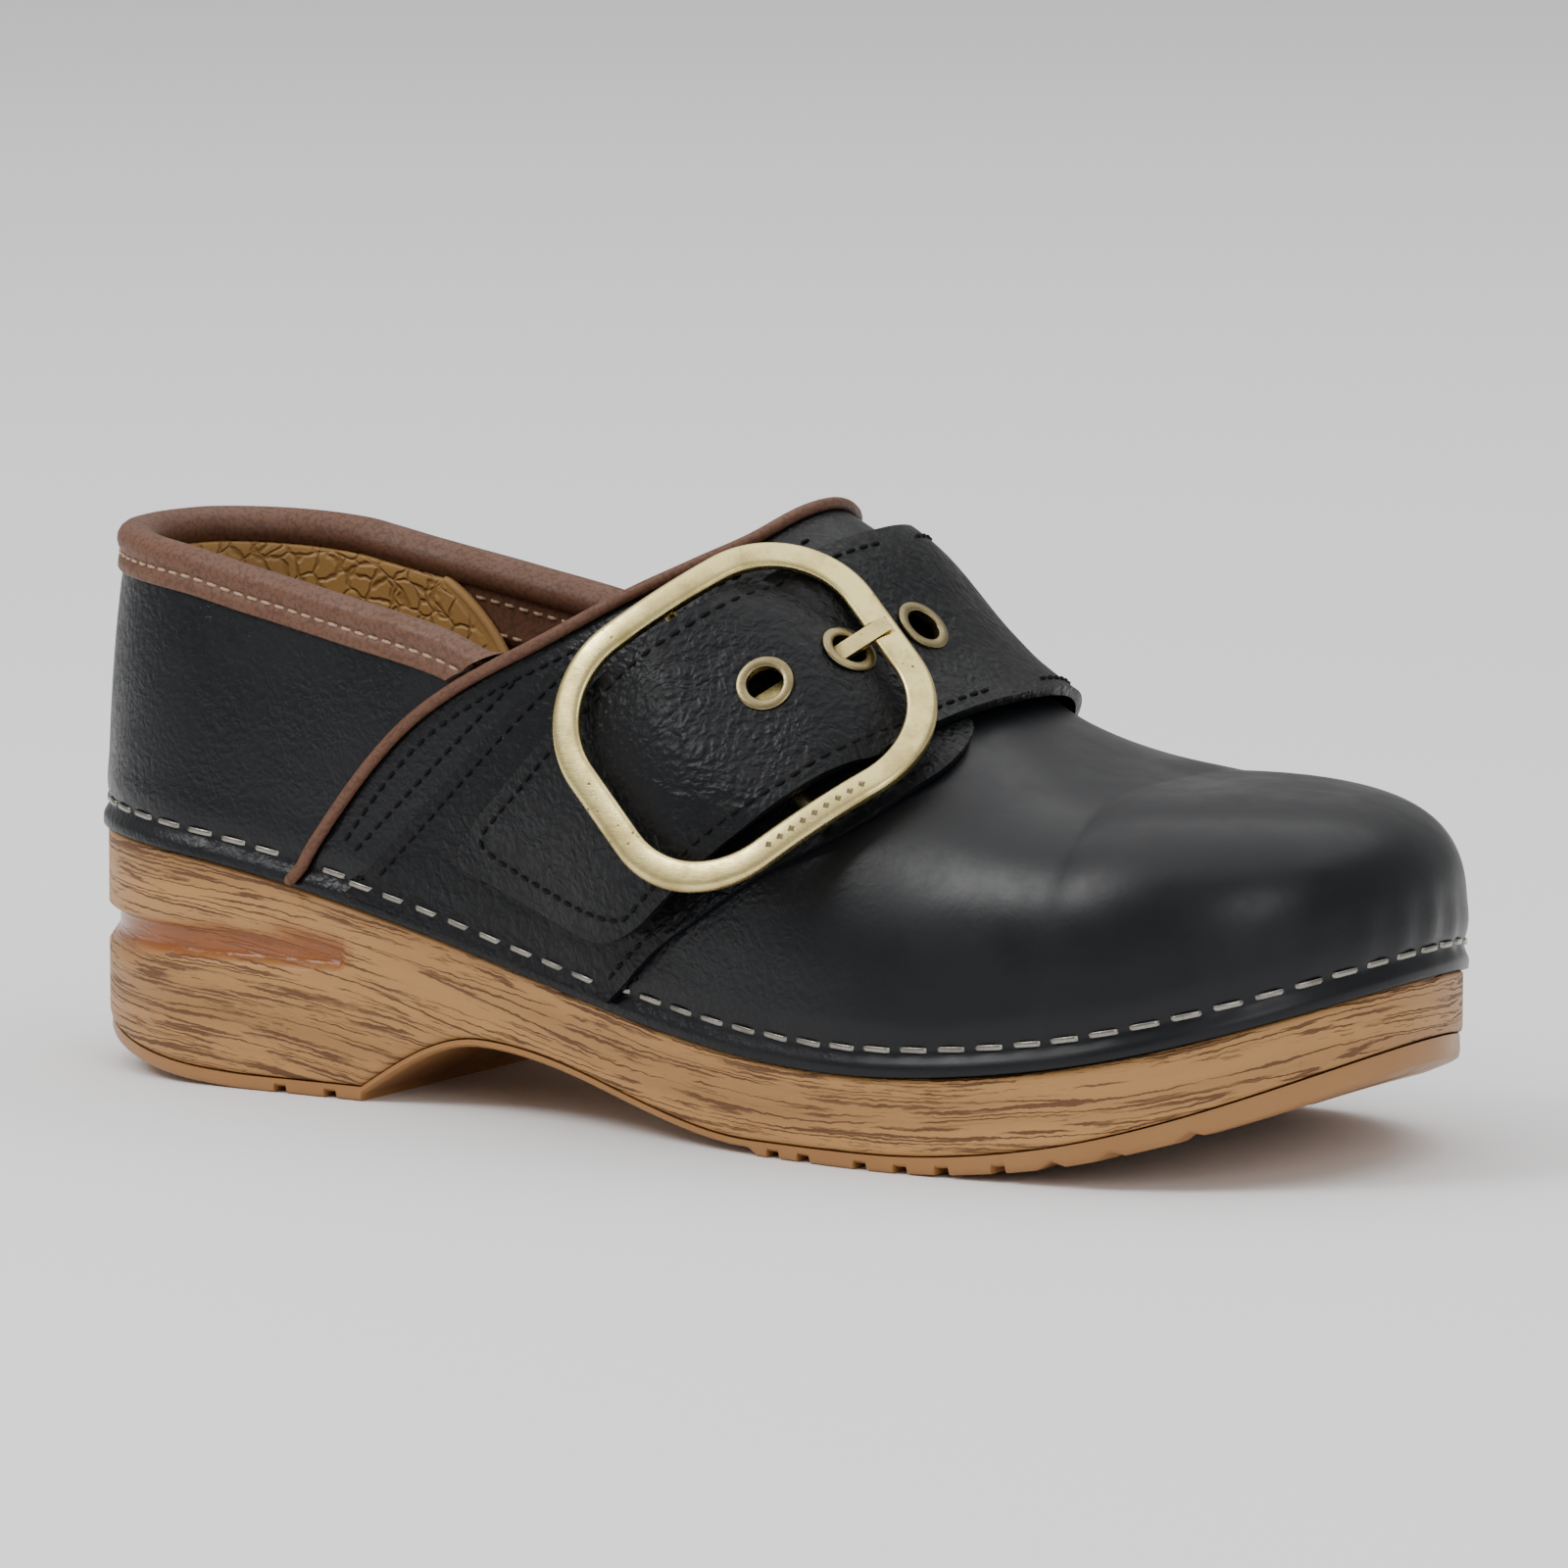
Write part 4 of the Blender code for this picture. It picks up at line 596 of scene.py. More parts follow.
class GroupMaker:
    """Makes the shader node groups, each once."""

    def start(self, name: str, inputs: dict[str, object], outputs: dict[str, str]) -> tuple:
        """Begin a group.

        Args:
            name: The group's name.
            inputs: Input name to its default; "vector" makes a vector, three numbers a colour.
            outputs: Output name to its socket type.

        Returns:
            The graph, the sockets of the group's inputs and its output node.
        """
        tree = bpy.data.node_groups.new(name, "ShaderNodeTree")
        for label, default in inputs.items():
            kind = "NodeSocketFloat"
            if default == "vector":
                kind = "NodeSocketVector"
            elif isinstance(default, tuple):
                kind = "NodeSocketColor"
            socket = tree.interface.new_socket(label, in_out="INPUT", socket_type=kind)
            if kind == "NodeSocketFloat":
                socket.default_value = default
            elif kind == "NodeSocketColor":
                socket.default_value = (*default, 1)
        for label, kind in outputs.items():
            tree.interface.new_socket(label, in_out="OUTPUT", socket_type="NodeSocket" + kind)
        graph = Graph(tree)
        return graph, graph.node("NodeGroupInput").outputs, graph.node("NodeGroupOutput")

    @cache
    def pebble(self) -> NodeTree:
        """Leather grain: small pebbles, folds between them and long soft creases, with a mask of the hollows
        between pebbles that carries painted shade.
        """
        graph, given, out = self.start(
            "pebble_grain", {"Vector": "vector", "Scale": 700.0, "Crease": 0.4, "Smoothness": 0.0},
            {"Height": "Float", "Crevice": "Float"})
        warp = graph.node("TexNoise", {"Vector": given["Vector"], "Scale": 140.0, "Detail": 2.0})
        shaken = graph.shaken(given["Vector"], warp.outputs["Color"], (0.004, 0.004, 0.004))
        big = graph.node("TexVoronoi",
                         {"Vector": shaken, "Scale": given["Scale"], "Smoothness": 0.55},
                         feature="SMOOTH_F1").outputs["Distance"]
        double = graph.times(given["Scale"], 2.1)
        small = graph.node("TexVoronoi", {"Vector": shaken, "Scale": double, "Smoothness": 0.4},
                           feature="SMOOTH_F1").outputs["Distance"]
        fold = graph.noise(graph.stretched(shaken, (60.0, 140.0, 60.0)), 1.0, 4.0, 0.55, 0.6)
        crease = graph.math("ABSOLUTE", graph.minus(fold, 0.5))
        crease = graph.span(crease, 0.0, 0.06)
        crease = graph.times(crease, given["Crease"])
        pebbles = graph.plus(graph.times(small, 0.45), big)
        pebbles = graph.minus(1.0, pebbles)
        keep = graph.minus(1.0, given["Smoothness"], True)
        height = graph.times(graph.plus(pebbles, crease), keep)
        graph.feed(out, Height=height)
        # Crevice marks the hollows between pebbles: the leather finish paints shade there and makes them
        # rougher.
        crevice = graph.times(graph.span(pebbles, 0.35, 0.05), keep)
        graph.feed(out, Crevice=crevice)
        return graph.tree

    @cache
    def wear(self) -> NodeTree:
        """Soft blotches of wear and fine dust, as a mask and a changed colour."""
        graph, given, out = self.start(
            "wear_and_dust", {"Vector": "vector", "Colour": (0.1, 0.1, 0.1), "Dust Colour": (0.3, 0.3, 0.3),
                              "Amount": 0.2, "Patch Scale": 40.0}, {"Colour": "Color", "Mask": "Float"})
        patch = graph.node("TexNoise",
                           {"Vector": given["Vector"], "Scale": given["Patch Scale"],
                            "Detail": 5.0, "Roughness": 0.65}).outputs[0]
        speck = graph.noise(given["Vector"], 2600.0, 2.0, 0.7)
        mask = graph.plus(graph.span(patch, 0.35, 0.75), graph.span(speck, 0.62, 0.75, 0.0, 0.5), True)
        share = graph.times(mask, given["Amount"], True)
        graph.feed(out, Colour=graph.mix(share, given["Colour"], given["Dust Colour"]))
        graph.feed(out, Mask=mask)
        return graph.tree

    @cache
    def wood(self) -> NodeTree:
        """Embossed wood grain: long wavering dark lines and short pores that run along the sole."""
        graph, given, out = self.start(
            "wood_grain", {"Vector": "vector", "Light": (0.6, 0.4, 0.2), "Dark": (0.3, 0.15, 0.06)},
            {"Colour": "Color", "Height": "Float", "Line": "Float"})
        vector = given["Vector"]
        sway = graph.node("TexNoise", {"Vector": graph.stretched(vector, (16.0, 50.0, 20.0)), "Scale": 1.0,
                                       "Detail": 2.0}).outputs["Color"]
        swayed = graph.shaken(vector, sway, (0.0, 0.0045, 0.0))
        ragged = graph.node("TexNoise",
                            {"Vector": graph.stretched(vector, (500.0, 900.0, 200.0)), "Scale": 1.0,
                             "Detail": 3.0}).outputs["Color"]
        swayed = graph.shaken(swayed, ragged, (0.004, 0.0008, 0.0))
        rings = graph.noise(graph.stretched(swayed, (9.0, 330.0, 9.0)), 1.0, 2.0, 0.5)
        rings = graph.math("FRACT", graph.times(rings, 9.0))
        line = graph.math("ABSOLUTE", graph.minus(rings, 0.5))
        line = graph.span(line, 0.19, 0.06)
        gate = graph.noise(graph.stretched(swayed, (55.0, 420.0, 30.0)), 1.0, 3.0, 0.6)
        line = graph.times(line, graph.span(gate, 0.36, 0.52))
        pore = graph.noise(graph.stretched(swayed, (150.0, 2400.0, 60.0)), 1.0, 2.0, 0.6)
        pore = graph.times(graph.span(pore, 0.60, 0.68),
                           graph.span(graph.noise(graph.stretched(vector, (40.0, 160.0, 30.0)), 1.0), 0.45,
                                      0.6))
        mark = graph.math("MAXIMUM", line, graph.times(pore, 0.75), True)
        broad = graph.noise(graph.stretched(swayed, (9.0, 160.0, 9.0)), 1.0, 3.0)
        tone = graph.mix(graph.span(broad, 0.3, 0.72, 0.0, 0.4), given["Light"],
                         given["Dark"])
        graph.feed(out, Colour=graph.mix(mark, tone, given["Dark"]))
        sand = graph.noise(vector, 3200.0, 2.0, 0.6)
        height = graph.minus(graph.times(sand, 0.3), mark)
        graph.feed(out, Height=height)
        graph.feed(out, Line=mark)
        return graph.tree

    @cache
    def brushed(self) -> NodeTree:
        """Brushed antique metal: fine scratches, dull patches and small dark pits."""
        graph, given, out = self.start(
            "brushed_metal", {"Vector": "vector", "Bright": (0.8, 0.7, 0.4), "Dull": (0.3, 0.2, 0.1),
                              "Pits": 0.5}, {"Colour": "Color", "Roughness": "Float", "Height": "Float"})
        vector = given["Vector"]
        scratch = graph.noise(graph.stretched(vector, (260.0, 5200.0, 5200.0)), 1.0, 3.0, 0.7)
        cloud = graph.noise(vector, 150.0, 4.0, 0.6)
        spot = graph.node("TexVoronoi", {"Vector": vector, "Scale": 520.0, "Randomness": 1.0},
                          feature="F1").outputs["Distance"]
        pit = graph.times(graph.span(spot, 0.20, 0.08),
                          graph.span(graph.noise(vector, 110.0, 2.0), 0.48, 0.62))
        pit = graph.times(pit, given["Pits"], True)
        dull = graph.plus(graph.span(cloud, 0.42, 0.72, 0.0, 0.55),
                          graph.span(scratch, 0.5, 0.75, 0.0, 0.25))
        tone = graph.mix(dull, given["Bright"], given["Dull"])
        graph.feed(out, Colour=graph.mix(pit, tone, (0.06, 0.045, 0.02)))
        rough = graph.plus(graph.span(scratch, 0.3, 0.7, 0.22, 0.36), graph.times(dull, 0.18))
        graph.feed(out, Roughness=graph.plus(rough, graph.times(pit, 0.3)))
        height = graph.minus(graph.times(scratch, 0.35), pit)
        graph.feed(out, Height=height)
        return graph.tree

    @cache
    def weave(self) -> NodeTree:
        """Basket weave of two crossing sets of threads, with painted shade in the hollows between them."""
        graph, given, out = self.start(
            "basket_weave", {"Vector": "vector", "Colour": (0.1, 0.06, 0.04), "Thread": 800.0},
            {"Colour": "Color", "Height": "Float"})
        parts = graph.node("SeparateXYZ", {0: given["Vector"]})
        along = graph.times(graph.plus(parts.outputs[0], parts.outputs[2]), given["Thread"])
        across = graph.times(graph.minus(parts.outputs[0], parts.outputs[2]),
                             given["Thread"])
        waves = [graph.math("SINE", graph.times(value, math.pi)) for value in (along, across)]
        height = graph.times(waves[0], waves[1])
        height = graph.plus(graph.times(height, 0.5), 0.5)
        graph.feed(out, Height=height)
        # Painted shade: the colour darkens where the weave's height is low, in the hollows between threads.
        dark = graph.mix(0.6, given["Colour"], (0.01, 0.006, 0.004))
        graph.feed(out, Colour=graph.mix(height, dark, given["Colour"]))
        return graph.tree

    @cache
    def cobble(self) -> NodeTree:
        """Irregular raised cobbles with narrow channels between them, and a channel mask that the rubber
        finish uses for painted shade.
        """
        graph, given, out = self.start("raised_cobble", {"Vector": "vector", "Scale": 210.0},
                                       {"Height": "Float", "Channel": "Float"})
        warp = graph.node("TexNoise", {"Vector": given["Vector"], "Scale": 160.0}).outputs["Color"]
        shaken = graph.shaken(given["Vector"], warp, (0.005, 0.005, 0.005))
        edge = graph.node("TexVoronoi", {"Vector": shaken, "Scale": given["Scale"]},
                          feature="DISTANCE_TO_EDGE").outputs["Distance"]
        graph.feed(out, Height=graph.span(edge, 0.01, 0.14))
        graph.feed(out, Channel=graph.span(edge, 0.08, 0.01))
        return graph.tree


GROUPS = GroupMaker()


class Finish:
    """Base of the finishes: starts a material whose nodes read the piece's own coordinates."""

    def begin(self, name: str) -> tuple[Material, Graph, Node, NodeSocket]:
        """Start a material.

        Args:
            name: The material's name.

        Returns:
            The material, its graph, its Principled node and its coordinates.
        """
        material = bpy.data.materials.new(name)
        material.use_nodes = True
        graph = Graph(material.node_tree)
        shader = material.node_tree.nodes["Principled BSDF"]
        where = graph.node("TexCoord").outputs["Object"]
        return material, graph, shader, where

    def bump(self, graph: Graph, shader: Node, height: object, distance: float,
             strength: float = 1.0) -> None:
        """Feed a height to the shader's normal.

        Args:
            graph: The material's graph.
            shader: Its Principled node.
            height: The height's socket.
            distance: How deep the height is, in metres.
            strength: How much of the effect shows.
        """
        bump = graph.node("Bump", {"Height": height, "Distance": distance, "Strength": strength})
        graph.feed(shader, Normal=bump.outputs[0])


@dataclass(frozen=True)
class LeatherFinish(Finish):
    """Grained leather, smoother towards the toe if asked, with a soft sheen, a little dust and painted shade
    that darkens the grain's crevices.
    """

    name: str
    colour: Colour
    dust: Colour
    roughness: float = 0.42
    grain_scale: float = 620.0
    grain_depth: float = 0.22 * MM
    crease: float = 0.25
    toe_smooth: bool = False
    dust_amount: float = 0.12
    specular: float = 0.45

    def material(self) -> Material:
        """Make the material."""
        material, graph, shader, where = self.begin(self.name)
        smooth: object = 0.0
        if self.toe_smooth:
            along = graph.node("SeparateXYZ", {0: where}).outputs[0]
            smooth = graph.span(along, 0.135, 0.19, 0.0, 0.92)
        grain = graph.group(GROUPS.pebble(), Vector=where, Scale=self.grain_scale, Crease=self.crease,
                            Smoothness=smooth)
        worn = graph.group(GROUPS.wear(), Vector=where, Colour=self.colour, Dust_Colour=self.dust,
                           Amount=self.dust_amount, Patch_Scale=55.0)
        # Painted shade: the colour darkens to near black in the grain's crevices.
        dark = graph.mix(graph.times(grain.outputs["Crevice"], 0.3), worn.outputs["Colour"],
                         (0.002, 0.002, 0.002))
        graph.feed(shader, Base_Color=dark)
        patch = graph.noise(where, 70.0, 4.0, 0.6)
        rough = graph.plus(graph.span(patch, 0.3, 0.7, self.roughness - 0.06, self.roughness + 0.06),
                           graph.times(grain.outputs["Crevice"], 0.08))
        graph.feed(shader, Roughness=rough)
        graph.feed(shader, Specular_IOR_Level=self.specular)
        self.bump(graph, shader, grain.outputs["Height"], self.grain_depth)
        return material


@dataclass(frozen=True)
class WoodLookFinish(Finish):
    """Moulded wood look: embossed grain, and a glossy darker groove where the attribute says so."""

    name: str
    light: Colour
    dark: Colour
    groove: Colour

    def material(self) -> Material:
        """Make the material."""
        material, graph, shader, where = self.begin(self.name)
        grain_place = graph.node("Attribute", attribute_name="grain_place").outputs["Vector"]
        groove_mask = graph.node("Attribute", attribute_name="groove_mask").outputs["Fac"]
        grain = graph.group(GROUPS.wood(), Vector=grain_place, Light=self.light, Dark=self.dark)
        polished = graph.mix(graph.times(grain.outputs["Line"], 0.35), self.groove, self.dark)
        colour = graph.mix(groove_mask, grain.outputs["Colour"], polished)
        graph.feed(shader, Base_Color=colour)
        matt = graph.plus(graph.times(grain.outputs["Line"], 0.15), 0.46)
        rough = graph.minus(matt, graph.times(groove_mask, 0.26))
        graph.feed(shader, Roughness=rough)
        keep = graph.minus(1.0, graph.times(groove_mask, 0.7))
        self.bump(graph, shader, graph.times(grain.outputs["Height"], keep), 0.28 * MM)
        return material


@dataclass(frozen=True)
class MetalFinish(Finish):
    """Metal that is brushed, a little dull in patches, with small pits."""

    name: str
    bright: Colour
    dull: Colour
    pits: float = 0.8
    depth: float = 0.05 * MM

    def material(self) -> Material:
        """Make the material."""
        material, graph, shader, where = self.begin(self.name)
        metal = graph.group(GROUPS.brushed(), Vector=where, Bright=self.bright, Dull=self.dull,
                            Pits=self.pits)
        graph.feed(shader, Base_Color=metal.outputs["Colour"])
        graph.feed(shader, Roughness=metal.outputs["Roughness"])
        graph.feed(shader, Metallic=1.0)
        self.bump(graph, shader, metal.outputs["Height"], self.depth)
        return material


@dataclass(frozen=True)
class WovenFinish(Finish):
    """Textile lining in a basket weave."""

    name: str
    colour: Colour

    def material(self) -> Material:
        """Make the material."""
        material, graph, shader, where = self.begin(self.name)
        cloth = graph.group(GROUPS.weave(), Vector=where, Colour=self.colour, Thread=620.0)
        worn = graph.group(GROUPS.wear(), Vector=where, Colour=cloth.outputs["Colour"],
                           Dust_Colour=(0.3, 0.2, 0.15), Amount=0.1, Patch_Scale=60.0)
        graph.feed(shader, Base_Color=worn.outputs["Colour"])
        graph.feed(shader, Roughness=0.85)
        graph.feed(shader, Sheen_Weight=0.2)
        self.bump(graph, shader, cloth.outputs["Height"], 0.25 * MM)
        return material


@dataclass(frozen=True)
class RubberFinish(Finish):
    """Moulded rubber: fine skin texture and worn patches, and raised cobbles if asked, with painted shade in
    their channels.
    """

    name: str
    colour: Colour
    # Darker rubber colour: used for worn patches, and on cobbles for painted shade in their channels.
    dust_and_shade: Colour
    roughness: float = 0.45
    cobbled: bool = False

    def material(self) -> Material:
        """Make the material."""
        material, graph, shader, where = self.begin(self.name)
        worn = graph.group(GROUPS.wear(), Vector=where, Colour=self.colour, Dust_Colour=self.dust_and_shade,
                           Amount=0.3,
                           Patch_Scale=45.0)
        skin = graph.noise(where, 2400.0, 3.0, 0.6)
        colour, height, depth = worn.outputs["Colour"], graph.times(skin, 0.2), 0.15 * MM
        if self.cobbled:
            cobble = graph.group(GROUPS.cobble(), Vector=where, Scale=270.0)
            show = graph.node("Attribute", attribute_name="pattern_mask").outputs["Fac"]
            channel = graph.times(cobble.outputs["Channel"], show)
            # Painted shade: the colour darkens towards the darker rubber colour in the channels between
            # cobbles.
            colour = graph.mix(graph.times(channel, 0.4), colour, self.dust_and_shade)
            height = graph.plus(height, graph.times(cobble.outputs["Height"], show))
            depth = 0.35 * MM
        graph.feed(shader, Base_Color=colour)
        rough = graph.span(graph.noise(where, 90.0), 0.3, 0.7, self.roughness - 0.05, self.roughness + 0.08)
        graph.feed(shader, Roughness=rough)
        self.bump(graph, shader, height, depth)
        return material


@dataclass(frozen=True)
class ThreadFinish(Finish):
    """Twisted sewing thread."""

    name: str
    colour: Colour

    def material(self) -> Material:
        """Make the material."""
        material, graph, shader, where = self.begin(self.name)
        dust = tuple(1.8 * part for part in self.colour)
        worn = graph.group(GROUPS.wear(), Vector=where, Colour=self.colour, Dust_Colour=dust, Amount=0.3,
                           Patch_Scale=300.0)
        graph.feed(shader, Base_Color=worn.outputs["Colour"])
        graph.feed(shader, Roughness=0.75)
        graph.feed(shader, Specular_IOR_Level=0.15)
        twist = graph.node("TexWave", {"Vector": where, "Scale": 700.0, "Distortion": 1.0},
                           bands_direction="DIAGONAL")
        self.bump(graph, shader, twist.outputs["Fac"], 0.08 * MM)
        return material


BLACK_UPPER = LeatherFinish("black_upper_leather", (0.0035, 0.004, 0.0055), (0.010, 0.011, 0.013), 0.36,
                            820.0,
                            0.11 * MM, 0.3, True, 0.12, 0.3)
BLACK_STRAP = LeatherFinish("black_strap_leather", (0.003, 0.0034, 0.0045), (0.009, 0.010, 0.012), 0.40,
                            620.0,
                            0.19 * MM, 0.45, False, 0.12, 0.22)
BLACK_EDGE = LeatherFinish("black_cut_edge", (0.004, 0.004, 0.005), (0.01, 0.01, 0.01), 0.6, 900.0,
                           0.10 * MM, 0.1,
                           False, 0.1, 0.2)
BROWN_TRIM = LeatherFinish("brown_trim_leather", (0.135, 0.060, 0.034), (0.20, 0.11, 0.075), 0.5, 1300.0,
                           0.03 * MM, 0.12, False, 0.2, 0.3)
SOCK_LEATHER = LeatherFinish("sock_leather", (0.16, 0.085, 0.05), (0.26, 0.16, 0.1), 0.55, 900.0, 0.08 * MM,
                             0.2,
                             False, 0.3, 0.35)
LINING_CLOTH = WovenFinish("lining_cloth", (0.15, 0.078, 0.052))
WOOD_LOOK = WoodLookFinish("wood_look", (0.46, 0.235, 0.075), (0.13, 0.05, 0.013), (0.26, 0.075, 0.012))
OUTSOLE_RUBBER = RubberFinish("outsole_rubber", (0.34, 0.16, 0.048), (0.24, 0.105, 0.032), 0.38)
CUP_RUBBER = RubberFinish("heel_cup_rubber", (0.42, 0.235, 0.075), (0.20, 0.095, 0.025), 0.5, True)
BRIGHT_BRASS = MetalFinish("antique_brass", (0.74, 0.61, 0.27), (0.27, 0.20, 0.065))
DULL_BRASS = MetalFinish("dull_brass", (0.30, 0.245, 0.125), (0.12, 0.095, 0.045), 0.4)
DARK_THREAD = ThreadFinish("dark_thread", (0.006, 0.006, 0.007))
PALE_THREAD = ThreadFinish("pale_thread", (0.42, 0.29, 0.19))
# Staple steel in a dark grey: partly the steel's own dull tone, partly painted shade of the recesses the
# staples sit in.
STAPLE_STEEL = MetalFinish("staple_steel", (0.30, 0.285, 0.25), (0.10, 0.09, 0.075), 0.3, 0.03 * MM)


# ---------------------------------------------------------------- mesh making


def add_piece(name: str, mesh: Mesh, finish: Finish, nodes: Sequence[str] = (),
              matrix: Matrix | None = None, body: Body = Body.SHOE) -> Object:
    """Put a mesh in the scene as a piece of the shoe.

    Args:
        name: The piece's name.
        mesh: Its mesh, in the shoe's frame or in the frame of the matrix.
        finish: Its finish.
        nodes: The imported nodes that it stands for.
        matrix: Where its frame lies in the shoe's frame.
        body: The rigid body that it rides on.

    Returns:
        The piece.
    """
    made = put(name, mesh)
    if matrix:
        mesh.transform(matrix)
    made.location = FORM.shift
    mesh.materials.append(material_of(finish))
    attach(made, body.value)
    if nodes:
        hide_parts(*nodes)
    LOG.info("%s: %d faces", name, len(mesh.polygons))
    return made


@cache
def material_of(finish: Finish) -> Material:
    """The finish's material, made once."""
    return finish.material()


def put(name: str, data: bpy.types.ID) -> Object:
    """Put a new object in the scene."""
    made = bpy.data.objects.new(name, data)
    bpy.context.scene.collection.objects.link(made)
    return made


def finished(shape: bmesh.types.BMesh, name: str, smooth: bool = True) -> Mesh:
    """Turn a shape into a mesh, and free the shape."""
    mesh = bpy.data.meshes.new(name)
    shape.to_mesh(mesh)
    shape.free()
    if smooth:
        mesh.shade_smooth()
    return mesh


def circle(sides: int) -> list[tuple[float, float]]:
    """Cosine and sine of even turns round a circle."""
    turns = [2 * math.pi * i / sides for i in range(sides)]
    return [(math.cos(turn), math.sin(turn)) for turn in turns]


def bridge(shape: bmesh.types.BMesh, rings: Sequence[Sequence[bmesh.types.BMVert]]) -> None:
    """Join rings of a shape's points into a closed body."""
    count = len(rings[0])
    for lower, upper in zip(rings, rings[1:]):
        for i in range(count):
            shape.faces.new((lower[i], lower[(i + 1) % count], upper[(i + 1) % count], upper[i]))
    shape.faces.new(list(reversed(rings[0])))
    shape.faces.new(rings[-1])


def round_edges(piece: Object, width: float, segments: int, angle: float) -> None:
    """Round a piece's edges where its faces turn by more than an angle in degrees."""
    edge = piece.modifiers.new("edge", "BEVEL")
    edge.width = width
    edge.segments = segments
    edge.limit_method = "ANGLE"
    edge.angle_limit = math.radians(angle)


def loft(name: str, rows: Sequence[Row], closed: bool = False, ring: bool = False) -> Mesh:
    """Loft a surface through rows of points.

    Args:
        name: The mesh's name.
        rows: Rows that all have the same count of points.
        closed: Whether each row closes on itself.
        ring: Whether the last row joins the first.

    Returns:
        The mesh, smooth shaded, with its faces turned the same way.
    """
    shape = bmesh.new()
    placed = [[shape.verts.new(point) for point in row] for row in rows]
    count = len(rows[0])
    pairs = list(zip(placed, placed[1:])) + ([(placed[-1], placed[0])] if ring else [])
    for lower, upper in pairs:
        for i in range(count if closed else count - 1):
            after = (i + 1) % count
            shape.faces.new((lower[i], lower[after], upper[after], upper[i]))
    bmesh.ops.remove_doubles(shape, verts=shape.verts, dist=0.002 * MM)
    bmesh.ops.recalc_face_normals(shape, faces=shape.faces)
    return finished(shape, name)


def face_out(mesh: Mesh, outward: Callable[[Vector], Vector]) -> None:
    """Turn a surface over if most of it faces against the outward direction.

    Args:
        mesh: The surface.
        outward: Gives the outward direction at a point.
    """
    votes = sum(math.copysign(face.area, face.normal.dot(outward(face.center))) for face in mesh.polygons)
    if votes < 0:
        mesh.flip_normals()


def away_from_spine(point: Vector) -> Vector:
    """Direction from the line inside the shoe to a point."""
    x = min(FORM.toe_centre, max(FORM.heel_centre, point.x))
    middle = (FORM.seat_height(x) + min(FORM.crest_height(x), FORM.collar_top(x))) / 2
    return point - Vector((x, 0, middle))


def paint(mesh: Mesh, name: str, value: Callable[[Vector], float]) -> None:
    """Store a number at each point of a mesh for its material to read.

    Args:
        mesh: The mesh.
        name: The attribute's name.
        value: Gives the number at a point.
    """
    store = mesh.attributes.new(name, "FLOAT", "POINT")
    for vertex in mesh.vertices:
        store.data[vertex.index].value = value(vertex.co)


def thicken(piece: Object, thickness: float, outward: bool, bevel: float = 0.0) -> None:
    """Give a sheet its thickness, and round its cut edges.

    Args:
        piece: The sheet.
        thickness: How thick it is.
        outward: Whether it grows outwards from its surface.
        bevel: Width of the rounding at its cut edges.
    """
    wall = piece.modifiers.new("wall", "SOLIDIFY")
    wall.thickness = thickness
    wall.offset = 1 if outward else -1
    wall.use_even_offset = True
    if bevel:
        round_edges(piece, bevel, 2, 60)


def tube_mesh(name: str, points: Row, radius: float, sides: int = 12,
              closed: bool = False) -> Mesh:
    """Mesh of a round tube along a run of points.

    Args:
        name: The mesh's name.
        points: The run.
        radius: The tube's radius.
        sides: How many sides it has.
        closed: Whether the run closes on itself.

    Returns:
        The mesh, with round ends where it is open.
    """
    rows = []
    side_way = None
    for i, point in enumerate(points):
        before = points[i - 1] if i or closed else point
        after = points[(i + 1) % len(points)] if closed or i + 1 < len(points) else point
        along = (after - before).normalized()
        side_way = along.orthogonal() if side_way is None else side_way - along * side_way.dot(along)
        side_way.normalize()
        other = along.cross(side_way)
        rows.append([point + (side_way * a + other * b) * radius for a, b in circle(sides)])
    if not closed:
        for end, inner in ((0, 1), (-1, -2)):
            centre = points[end]
            away = (centre - points[inner]).normalized()
            caps = [[centre + (corner - centre) * 0.7 + away * radius * 0.7 for corner in rows[end]],
                    [centre + away * radius for _ in rows[end]]]
            rows = list(reversed(caps)) + rows if end == 0 else rows + caps
    return loft(name, rows, closed=True, ring=closed)


